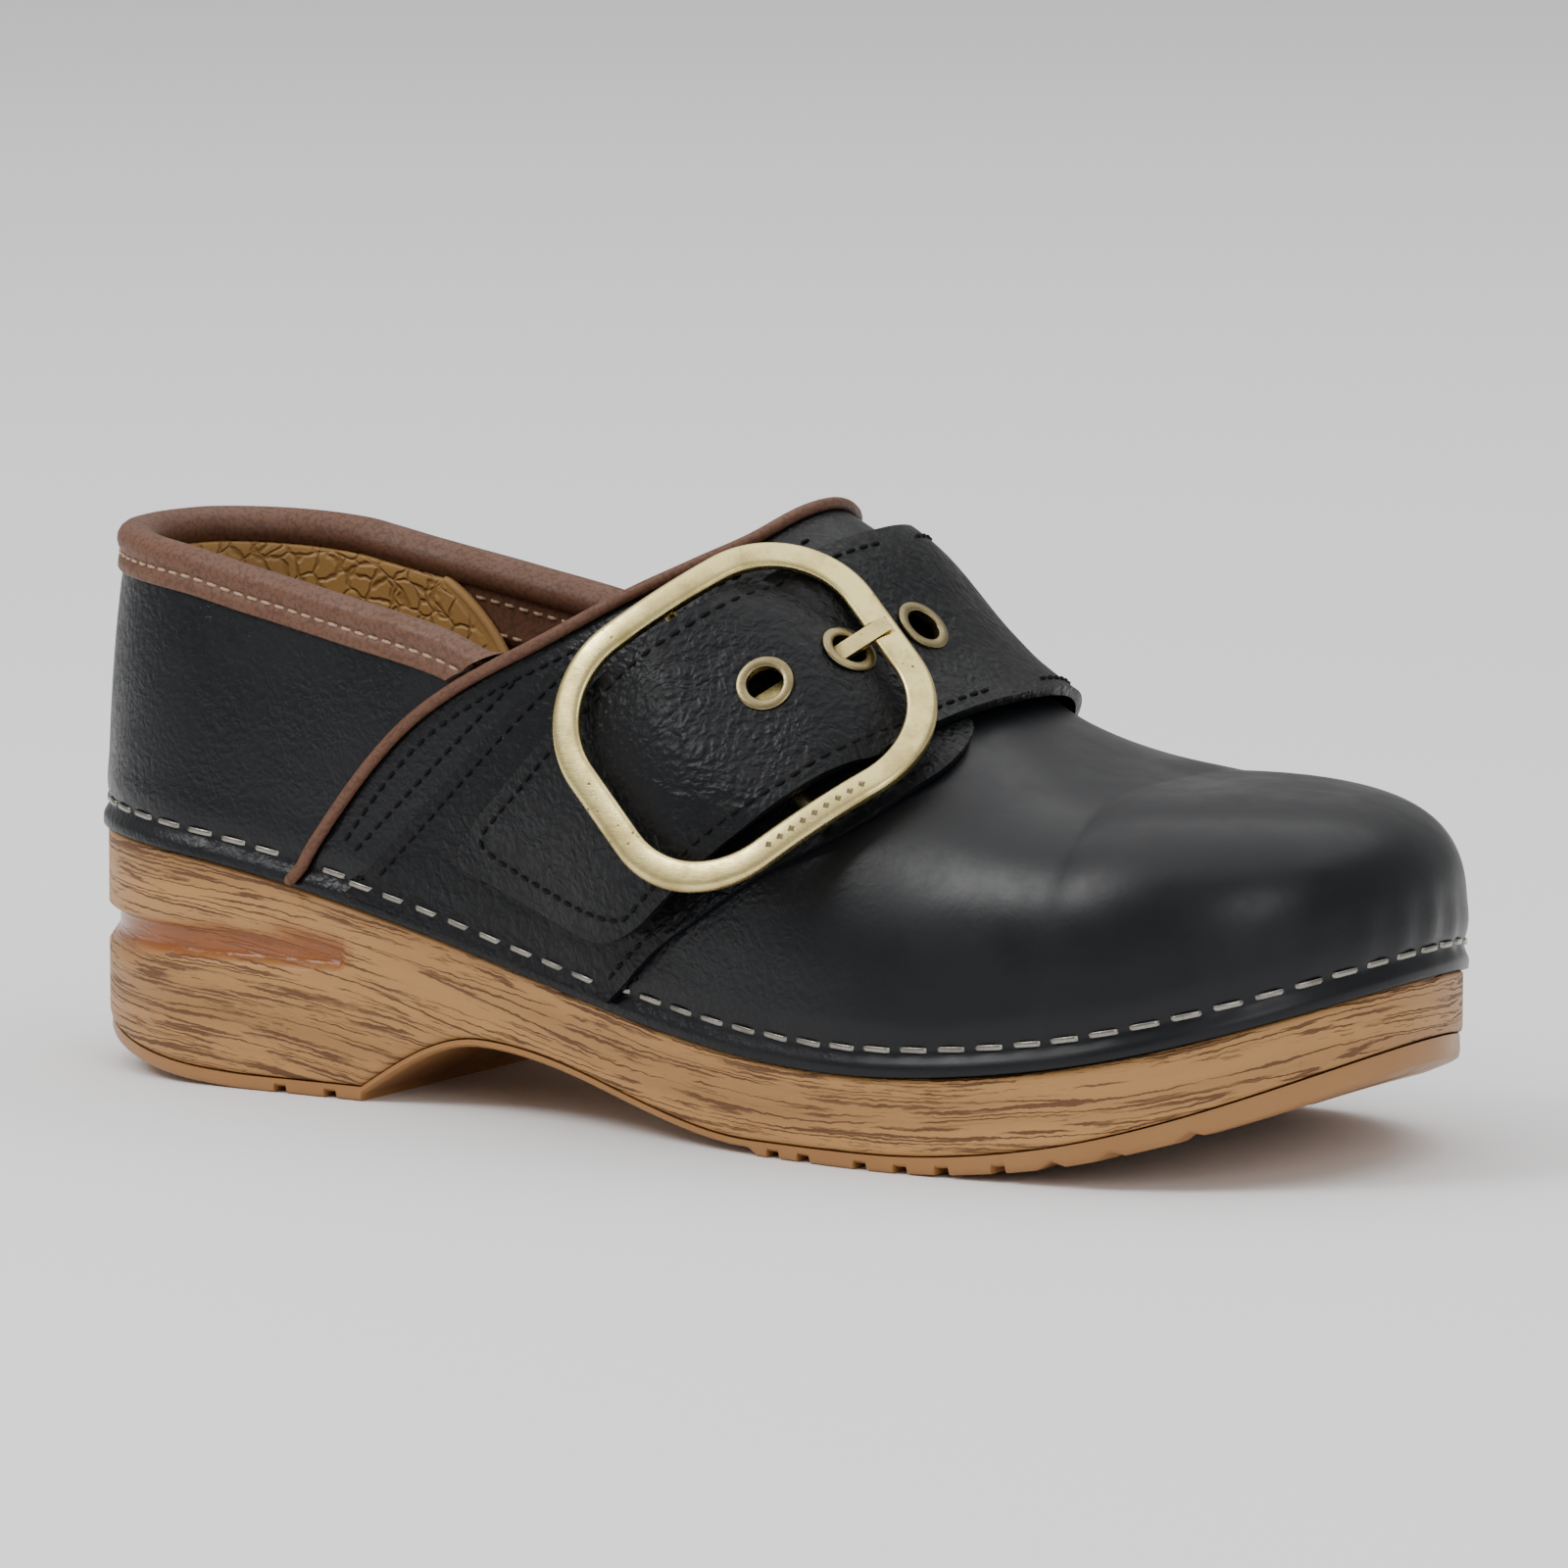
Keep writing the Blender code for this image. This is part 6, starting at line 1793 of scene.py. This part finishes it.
    def tip(self, across: float, corner: float = 0.7) -> float:
        """Rise of the strap's rounded tip at a place across it."""
        past = max(0.0, (min(1.0, abs(across)) - corner) / (1 - corner))
        return self.tip_rise + self.tip_round * (1 - math.sqrt(max(0.0, 1 - past * past)))

    def eyelet_rise(self, distance: float | None) -> float:
        """Rise of an eyelet at a distance from the bar, or where the strap crosses the prong."""
        def far(rise: float) -> float:
            """How far the strap at a rise is past the distance."""
            return (self.inverse @ self.strand(0, rise, -1, self.strap_thickness)).x - distance

        def low(rise: float) -> float:
            """How far the strap at a rise is below the prong."""
            point = self.strand(0, rise, -1, self.eyelet_slack * self.strap_thickness)
            return -self.bar_depth - self.prong_drop / 2 - (self.inverse @ point).z

        if distance is None:
            return solve_rising(low, self.rise, 0.99)
        return solve_rising(far, 0.3, 0.995)

    def on_strap(self, rise: float, across: float = 0.0, side: int = -1) -> Matrix:
        """Frame on the strap's outside: X up along it, Z outwards."""
        top, step = self.strap_thickness, 0.012
        point = self.strand(across, rise, side, top)
        along = (self.strand(across, min(0.999, rise + step), side, top)
                 - self.strand(across, max(0.004, rise - step), side, top)).normalized()
        wide = (self.strand(across + 0.12, rise, side, top) - self.strand(across - 0.12, rise, side,
                                                                          top)).normalized()
        normal = along.cross(wide).normalized()
        if normal.dot(away_from_spine(point)) < 0:
            normal = -normal
        turn = Matrix((along, normal.cross(along).normalized(), normal)).transposed().to_4x4()
        return Matrix.Translation(point) @ turn

    def build_strap(self) -> None:
        """Build the strap with its holes, and its stitch rows inside every edge."""
        rows = []
        for i in range(27):
            across = max(-1.0, min(1.0, math.sin(math.pi / 2 * (i / 13 - 1))))
            tip = self.tip(across)
            row = [self.strand(across, tip + (1 - tip) * share, -1) for share in steps_between(0, 1, 84)]
            turns = [math.pi / 2 * i / 46 for i in range(45, -1, -1)]
            row += [self.strand(across, max(0.012, math.sin(turn)), 1) for turn in turns]
            rows.append(row)
        mesh = loft("strap_sheet", rows)
        face_out(mesh, away_from_spine)
        cutters = [(loft("hole", disc_rings(self.eyelet_hole + 0.65 * MM, 6 * MM), True),
                    self.on_strap(self.eyelet_rise(distance))) for distance in self.eyelet_places]
        far = (self.inverse @ self.on_strap(self.eyelet_rise(None)).translation).x
        relief = 1.2 * MM
        size = (far, self.prong_width + 2 * self.gap, 4 * relief)
        centre = (far / 2, 0, self.prong_thickness / 2 + relief - size[2] / 2)
        cutters.append((loft("relief", block_rings(size, centre), True), self.bar))
        strap = cut_with(mesh, cutters, (self.strap_thickness, 0.4 * MM))
        strap.materials.clear()
        add_piece("strap_look", strap, BLACK_STRAP, ("strap",))
        self.stitch_strap()

    def stitch_strap(self) -> None:
        """Sew the strap's rows: down both edges and round the tip."""
        seam = Seam(pitch=3.0 * MM, length=2.2 * MM, radius=0.36 * MM)
        spots = []
        line, inset = self.stitch_line, 0.045
        for rise in steps_between(1.0, self.tip(0) + inset + 0.05, 70):
            spots.append((-line, rise, -1))
        for turn in steps_between(0.0, math.pi, 30):
            across = -line * (abs(math.cos(turn)) ** 0.6) * (1 if math.cos(turn) > 0 else -1)
            spots.append((across, self.tip_rise + inset + 0.05 * (1 - math.sin(turn) ** 0.5), -1))
        for rise in steps_between(self.tip(0) + inset + 0.05, 1.0, 70):
            spots.append((line, rise, -1))
        runs = [spots]
        for across in (-line, line):
            runs.append([(across, math.sin(turn), 1) for turn in steps_between(math.pi / 2 - 0.03, 0.12,
                                                                               60)])
        for run in runs:
            frames = [self.on_strap(min(0.995, rise), across, side) for across, rise, side in run]
            seam.add([frame.translation for frame in frames], [frame.col[2].to_3d() for frame in frames])
        add_piece("strap_stitching", seam.mesh("strap_stitching"), DARK_THREAD)

    def saddle_spot(self, cross: float, rise: float, extra: float) -> tuple[Vector, Vector]:
        """Point over the saddle's inside, and the normal there."""
        place = FORM.band(cross, rise, -1)
        return on_leather(place, rise, self.saddle_lift + extra), FORM.normal(place, rise)

    def build_saddle(self) -> None:
        """Build the panel under the buckle, and the stitch rows on it and beside it."""
        rows = []
        for i in range(41):
            share = (1 - math.cos(math.pi * i / 40)) / 2
            past = max(0.0, abs(2 * share - 1) - 0.72) / 0.28
            top = self.saddle_top - self.saddle_corner * (1 - math.sqrt(max(0.0, 1 - past * past)))
            turns = steps_between(0.012, math.asin(top ** 1.1), 56)
            row = []
            for turn in turns:
                rise = math.sin(turn) ** (1 / 1.1)
                rear = self.saddle_rear(rise)
                row.append(self.saddle_spot(rear + (self.saddle_front(rise) - rear) * share, rise, 0.0)[0])
            rows.append(row)
        mesh = loft("saddle_look", rows)
        face_out(mesh, away_from_spine)
        saddle = add_piece("saddle_look", mesh, BLACK_STRAP,
                           ("saddle_lateral",))
        thicken(saddle, self.saddle_thickness, True, 0.3 * MM)
        seam = Seam(pitch=2.9 * MM, length=2.1 * MM, radius=0.34 * MM)
        around = [(self.saddle_rear(rise) + 3.2 * MM, rise) for rise in steps_between(0.07, 0.86, 60)]
        around += [(self.saddle_front(rise) - 4 * MM, rise) for rise in steps_between(0.88, 0.07, 60)]
        for part in (around[:61], around[61:]):
            spots = [self.saddle_spot(cross, rise, self.saddle_thickness) for cross, rise in part]
            seam.add([spot[0] for spot in spots], [spot[1] for spot in spots])
        behind = [(self.saddle_rear(rise) - 7 * MM + 2.2 * MM * rise, rise) for rise in steps_between(0.09,
                                                                                                      0.5,
                                                                                                      40)]
        spots = [self.saddle_spot(cross, rise, -self.saddle_lift) for cross, rise in behind]
        seam.add([spot[0] for spot in spots], [spot[1] for spot in spots])
        for side in (-1, 1):
            rises = steps_between(0.1, 0.97, 80)
            line = [Place(Zone.SIDE, FORM.throat_x(rise) + 4.4 * MM, side) for rise in rises]
            seam.add([on_leather(place, rise, 0.0) for place, rise in zip(line, rises)],
                     [FORM.normal(place, rise) for place, rise in zip(line, rises)])
        add_piece("upper_stitching", seam.mesh("upper_stitching"), DARK_THREAD)

    def outline(self, inset: float, steps: int = 26) -> list[tuple[float, float]]:
        """Points of the buckle's rounded rectangle, drawn in by an inset."""
        half_length, half_width = self.half_length - inset, self.half_width - inset
        corner = self.corner - inset
        points = []
        for quadrant, (along, across) in enumerate(((1, 1), (-1, 1), (-1, -1), (1, -1))):
            for i in range(steps + 1):
                angle = math.pi / 2 * (quadrant + i / steps)
                points.append((along * (half_length - corner) + corner * math.cos(angle),
                               across * (half_width - corner) + corner * math.sin(angle)))
            if along == across:
                straight = half_length - corner
                points += [(along * straight * share, across * half_width) for share in steps_between(0.8,
                                                                                                      -0.8,
                                                                                                      8)]
        return points

    def build_buckle(self) -> None:
        """Build the buckle's frame, with a notch for the prong, and its marks."""
        half_band, half_thick = self.band / 2, self.frame_thickness / 2
        rows = []
        for across, up in circle(28):
            offset = half_band * math.copysign(abs(across) ** 0.55, across)
            height = half_thick * math.copysign(abs(up) ** 0.6, up)
            row = []
            for u, v in self.outline(half_band - offset):
                row.append(Vector((u, v, self.bar_depth - u * u / (2 * self.bend) + height)))
            rows.append(row)
        mesh = loft("buckle_ring", rows, closed=True, ring=True)
        tip = self.half_length - self.prong_inset
        low = -self.prong_drop - self.prong_thickness / 2 - self.gap
        start, end = self.half_length - self.band - 1 * MM, tip + self.gap
        size = (end - start, self.prong_width + 2 * self.gap, 8 * MM)
        centre = ((start + end) / 2, 0, low + size[2] / 2)
        ring = cut_with(mesh, [(loft("notch", block_rings(size, centre), True), Matrix.Identity(4))])
        ring.set_sharp_from_angle(angle=math.radians(50))
        ring.materials.clear()
        add_piece("buckle_look", ring, BRIGHT_BRASS, ("buckle_frame",), self.bar,
                  Body.BUCKLE)
        self.build_marks()

    def build_marks(self) -> None:
        """Build a plain row of small diamond studs along the buckle's toe side, as decoration."""
        shape = bmesh.new()
        for i in range(-4, 5):
            u, v = i * 2.3 * MM, -(self.half_width - self.band / 2)
            top = self.bar_depth - u * u / (2 * self.bend) + self.frame_thickness / 2
            corners = [shape.verts.new((u + a * 0.8 * MM, v + b * 0.8 * MM, top - 0.05 * MM))
                       for a, b in ((1, 0), (0, 1), (-1, 0), (0, -1))]
            peak = shape.verts.new((u, v, top + 0.28 * MM))
            for j in range(4):
                shape.faces.new((corners[j], corners[(j + 1) % 4], peak))
            shape.faces.new(list(reversed(corners)))
        marks = finished(shape, "buckle_marks", False)
        add_piece("buckle_marks", marks, DULL_BRASS, (), self.bar, Body.BUCKLE)

    def build_eyelets(self) -> None:
        """Build the turned eyelets."""
        hole, rim, high = self.eyelet_hole + 0.15 * MM, self.eyelet_radius, self.eyelet_height
        profile = [(hole, -1.1 * MM), (hole, 0.1 * MM)]
        for turn in steps_between(0, math.pi, 12):
            middle, half = (hole + rim) / 2, (rim - hole) / 2
            profile.append((middle - half * math.cos(turn), 0.2 * MM + high * math.sin(turn) ** 0.7))
        profile += [(rim, 0.02 * MM), (hole + 0.25 * MM, 0.02 * MM), (hole + 0.25 * MM, -1.1 * MM)]
        for number, distance in enumerate(self.eyelet_places, 1):
            rings = [[Vector((radius * a, radius * b, up)) for a, b in circle(48)] for radius,
                     up in profile]
            mesh = loft(f"eyelet_look_{number}", rings, closed=True, ring=True)
            mesh.set_sharp_from_angle(angle=math.radians(60))
            add_piece(f"eyelet_look_{number}", mesh, DULL_BRASS,
                      (f"eyelet_{number}",), self.on_strap(self.eyelet_rise(distance)))

    def build(self) -> None:
        """Build everything that fastens the shoe."""
        self.build_saddle()
        self.build_strap()
        self.build_buckle()
        self.build_eyelets()


@dataclass
class Staples:
    """The flat wire staples that hold the upper to the sole, all round."""

    fastening: Fastening
    length: float = 5.0 * MM
    width: float = 1.0 * MM
    thick: float = 0.55 * MM

    def place(self, along: float, side: int) -> Place:
        """Place at a distance round the outline from the tip of the toe."""
        turned = math.pi / 2 * FORM.toe_reach_tip
        straight = FORM.toe_centre - FORM.heel_centre
        if along < turned:
            return Place(Zone.TOE, side * along / FORM.toe_reach_tip, 0)
        if along < turned + straight:
            return Place(Zone.SIDE, FORM.toe_centre - (along - turned), side)
        return Place(Zone.HEEL, side * (math.pi / 2 - (along - turned - straight) / FORM.heel_radius), 0)

    def layer(self, place: Place) -> float:
        """Offset of the leather that a staple goes through."""
        clear = 2.5 * MM
        make = self.fastening
        if place.zone is not Zone.SIDE:
            return 0.0
        cross = place.value - FORM.seat_of(place)
        if place.side < 0 and make.saddle_rear(0) - clear < cross < make.saddle_front(0) + clear:
            return make.saddle_lift + make.saddle_thickness
        middle = make.strap_place - make.strap_sweep
        if place.side > 0 and abs(cross - middle) < make.strap_width / math.sqrt(2) + clear:
            return make.medial_lift + make.strap_thickness
        return 0.0

    def add(self, shape: bmesh.types.BMesh, place: Place) -> None:
        """Add one staple: a flat crown with both ends turned into the leather."""
        rise = FORM.rise_at(place, FORM.seat_of(place) + STAPLE_RISE)
        normal = FORM.normal(place, rise)
        step = 0.5 * MM if place.zone is Zone.SIDE else 0.01
        ahead = FORM.upper(place._replace(value=place.value + step), rise, 0.0)
        along = (ahead - FORM.upper(place._replace(value=place.value - step), rise, 0.0)).normalized()
        up = normal.cross(along).normalized()
        middle = FORM.upper(place, rise, self.layer(place) + margin(place, STAPLE_RISE) + self.thick * 0.75)
        half, turn = self.length / 2, 0.75 * MM
        path = [(-half, -1.3 * MM), (-half, -turn), (-half + 0.2 * MM, -0.2 * MM), (-half + turn, 0.0),
                (half - turn, 0.0), (half - 0.2 * MM, -0.2 * MM), (half, -turn), (half, -1.3 * MM)]
        rings = []
        for i, (run, drop) in enumerate(path):
            before, after = path[max(0, i - 1)], path[min(len(path) - 1, i + 1)]
            way = (along * (after[0] - before[0]) + normal * (after[1] - before[1])).normalized()
            out = up.cross(way).normalized()
            spot = middle + along * run + normal * drop
            rings.append([shape.verts.new(spot + up * a * self.width / 2 + out * b * self.thick / 2) for a,
                          b in
                          ((1, 0.5), (0.75, 1), (-0.75, 1), (-1, 0.5), (-1, -0.5), (-0.75, -1), (0.75, -1),
                           (1, -0.5))])
        bridge(shape, rings)

    def build(self) -> None:
        """Build all the staples as one piece."""
        shape = bmesh.new()
        whole = math.pi / 2 * (FORM.toe_reach_tip + FORM.heel_radius) + FORM.toe_centre - FORM.heel_centre
        count = int(whole / STAPLE_PITCH)
        piping = FORM.throat_x(0.06)
        for number in range(count + 1):
            for side in ((1,) if number == 0 else (-1, 1)):
                place = self.place(number * STAPLE_PITCH, side)
                if place.zone is Zone.SIDE and abs(place.value - piping) < 3.4 * MM:
                    continue
                self.add(shape, place)
        bmesh.ops.recalc_face_normals(shape, faces=shape.faces)
        nodes = tuple(name for name in frame["nodes"] if name.startswith("staple_"))
        add_piece("staples", finished(shape, "staples"), STAPLE_STEEL, nodes)


# ---------------------------------------------------------------- kept nodes, studio and main


def dress_kept_nodes() -> None:
    """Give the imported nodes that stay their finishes, with softened edges where they can be seen."""
    kept = {"toe_puff": LINING_CLOTH, "throat_stay_lateral": LINING_CLOTH,
            "throat_stay_medial": LINING_CLOTH, "bar_keeper_front": BLACK_EDGE,
            "bar_keeper_rear": BLACK_EDGE,
            "buckle_bar": DULL_BRASS, "buckle_prong": BRIGHT_BRASS}
    for name, finish in kept.items():
        node = frame["nodes"][name]
        node.data.materials.clear()
        node.data.materials.append(material_of(finish))
        if name in ("buckle_prong", "buckle_bar"):
            round_edges(node, 0.22 * MM, 3, 40)
        LOG.info("%s: kept, %s", name, finish.name)


@dataclass
class Studio:
    """A pale floor, soft lights and the camera."""

    azimuth: float = math.radians(31.65)
    elevation: float = math.radians(7.7)
    distance: float = 1.8
    lens: float = 239.8
    target: tuple[float, float, float] = (136.2 * MM, 0.0, 56.4 * MM)

    def floor(self) -> None:
        """Lay the floor."""
        rows = [[Vector((x, y, 0)) for x in (-6, 6)] for y in (-6, 6)]
        mesh = loft("floor", rows)
        material = bpy.data.materials.new("floor")
        material.use_nodes = True
        surface = material.node_tree.nodes["Principled BSDF"]
        surface.inputs["Base Color"].default_value = (0.93, 0.93, 0.935, 1)
        surface.inputs["Roughness"].default_value = 0.85
        mesh.materials.append(material)
        floor = put("floor", mesh)
        floor.location.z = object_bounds()[0][2]
        floor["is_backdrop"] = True

    def light(self, name: str, spot: Vector, size: float, power: float) -> None:
        """Hang a soft light aimed at the shoe."""
        lamp = bpy.data.lights.new(name, "AREA")
        lamp.shape = "DISK"
        lamp.size = size
        lamp.energy = power
        made = put(name, lamp)
        made.location = spot
        made.rotation_euler = (Vector((0, 0, 0.05)) - spot).to_track_quat("-Z", "Y").to_euler()

    def camera(self) -> None:
        """Set the camera."""
        flat = math.cos(self.elevation)
        back = Vector((math.sin(self.azimuth) * flat, -math.cos(self.azimuth) * flat,
                       math.sin(self.elevation)))
        lens = bpy.data.cameras.new("camera")
        lens.lens = self.lens
        lens.sensor_width = 36
        made = put("camera", lens)
        made.location = Vector(self.target) + FORM.shift + back * self.distance
        made.rotation_euler = (-back).to_track_quat("-Z", "Y").to_euler()
        bpy.context.scene.camera = made

    def build(self) -> None:
        """Set up the floor, the lights, the pale surroundings and the camera."""
        self.floor()
        self.light("key", Vector((-0.75, -0.95, 1.25)), 0.7, 13)
        self.light("fill", Vector((1.25, -0.85, 0.75)), 0.8, 5)
        self.light("overhead", Vector((0.0, 0.4, 3.0)), 5.0, 95)
        world = bpy.data.worlds.new("studio")
        world.use_nodes = True
        world.node_tree.nodes["Background"].inputs["Color"].default_value = (1, 1, 1, 1)
        world.node_tree.nodes["Background"].inputs["Strength"].default_value = 0.5
        bpy.context.scene.world = world
        self.camera()


def plain(bounds: Sequence[Sequence[float]]) -> list[list[float]]:
    """A box as plain lists."""
    return [[float(value) for value in corner] for corner in bounds]


def main() -> None:
    """Build the whole clog in order, then the studio, and work out how big it came out."""
    logging.basicConfig(level=logging.INFO, format="%(message)s")
    SoleUnit().build()
    Upper().build()
    fastening = Fastening()
    fastening.build()
    Staples(fastening).build()
    dress_kept_nodes()
    Studio().build()
    {"before": plain(CAD_BOX), "after": plain(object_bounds())}


if __name__ == "__main__":
    main()
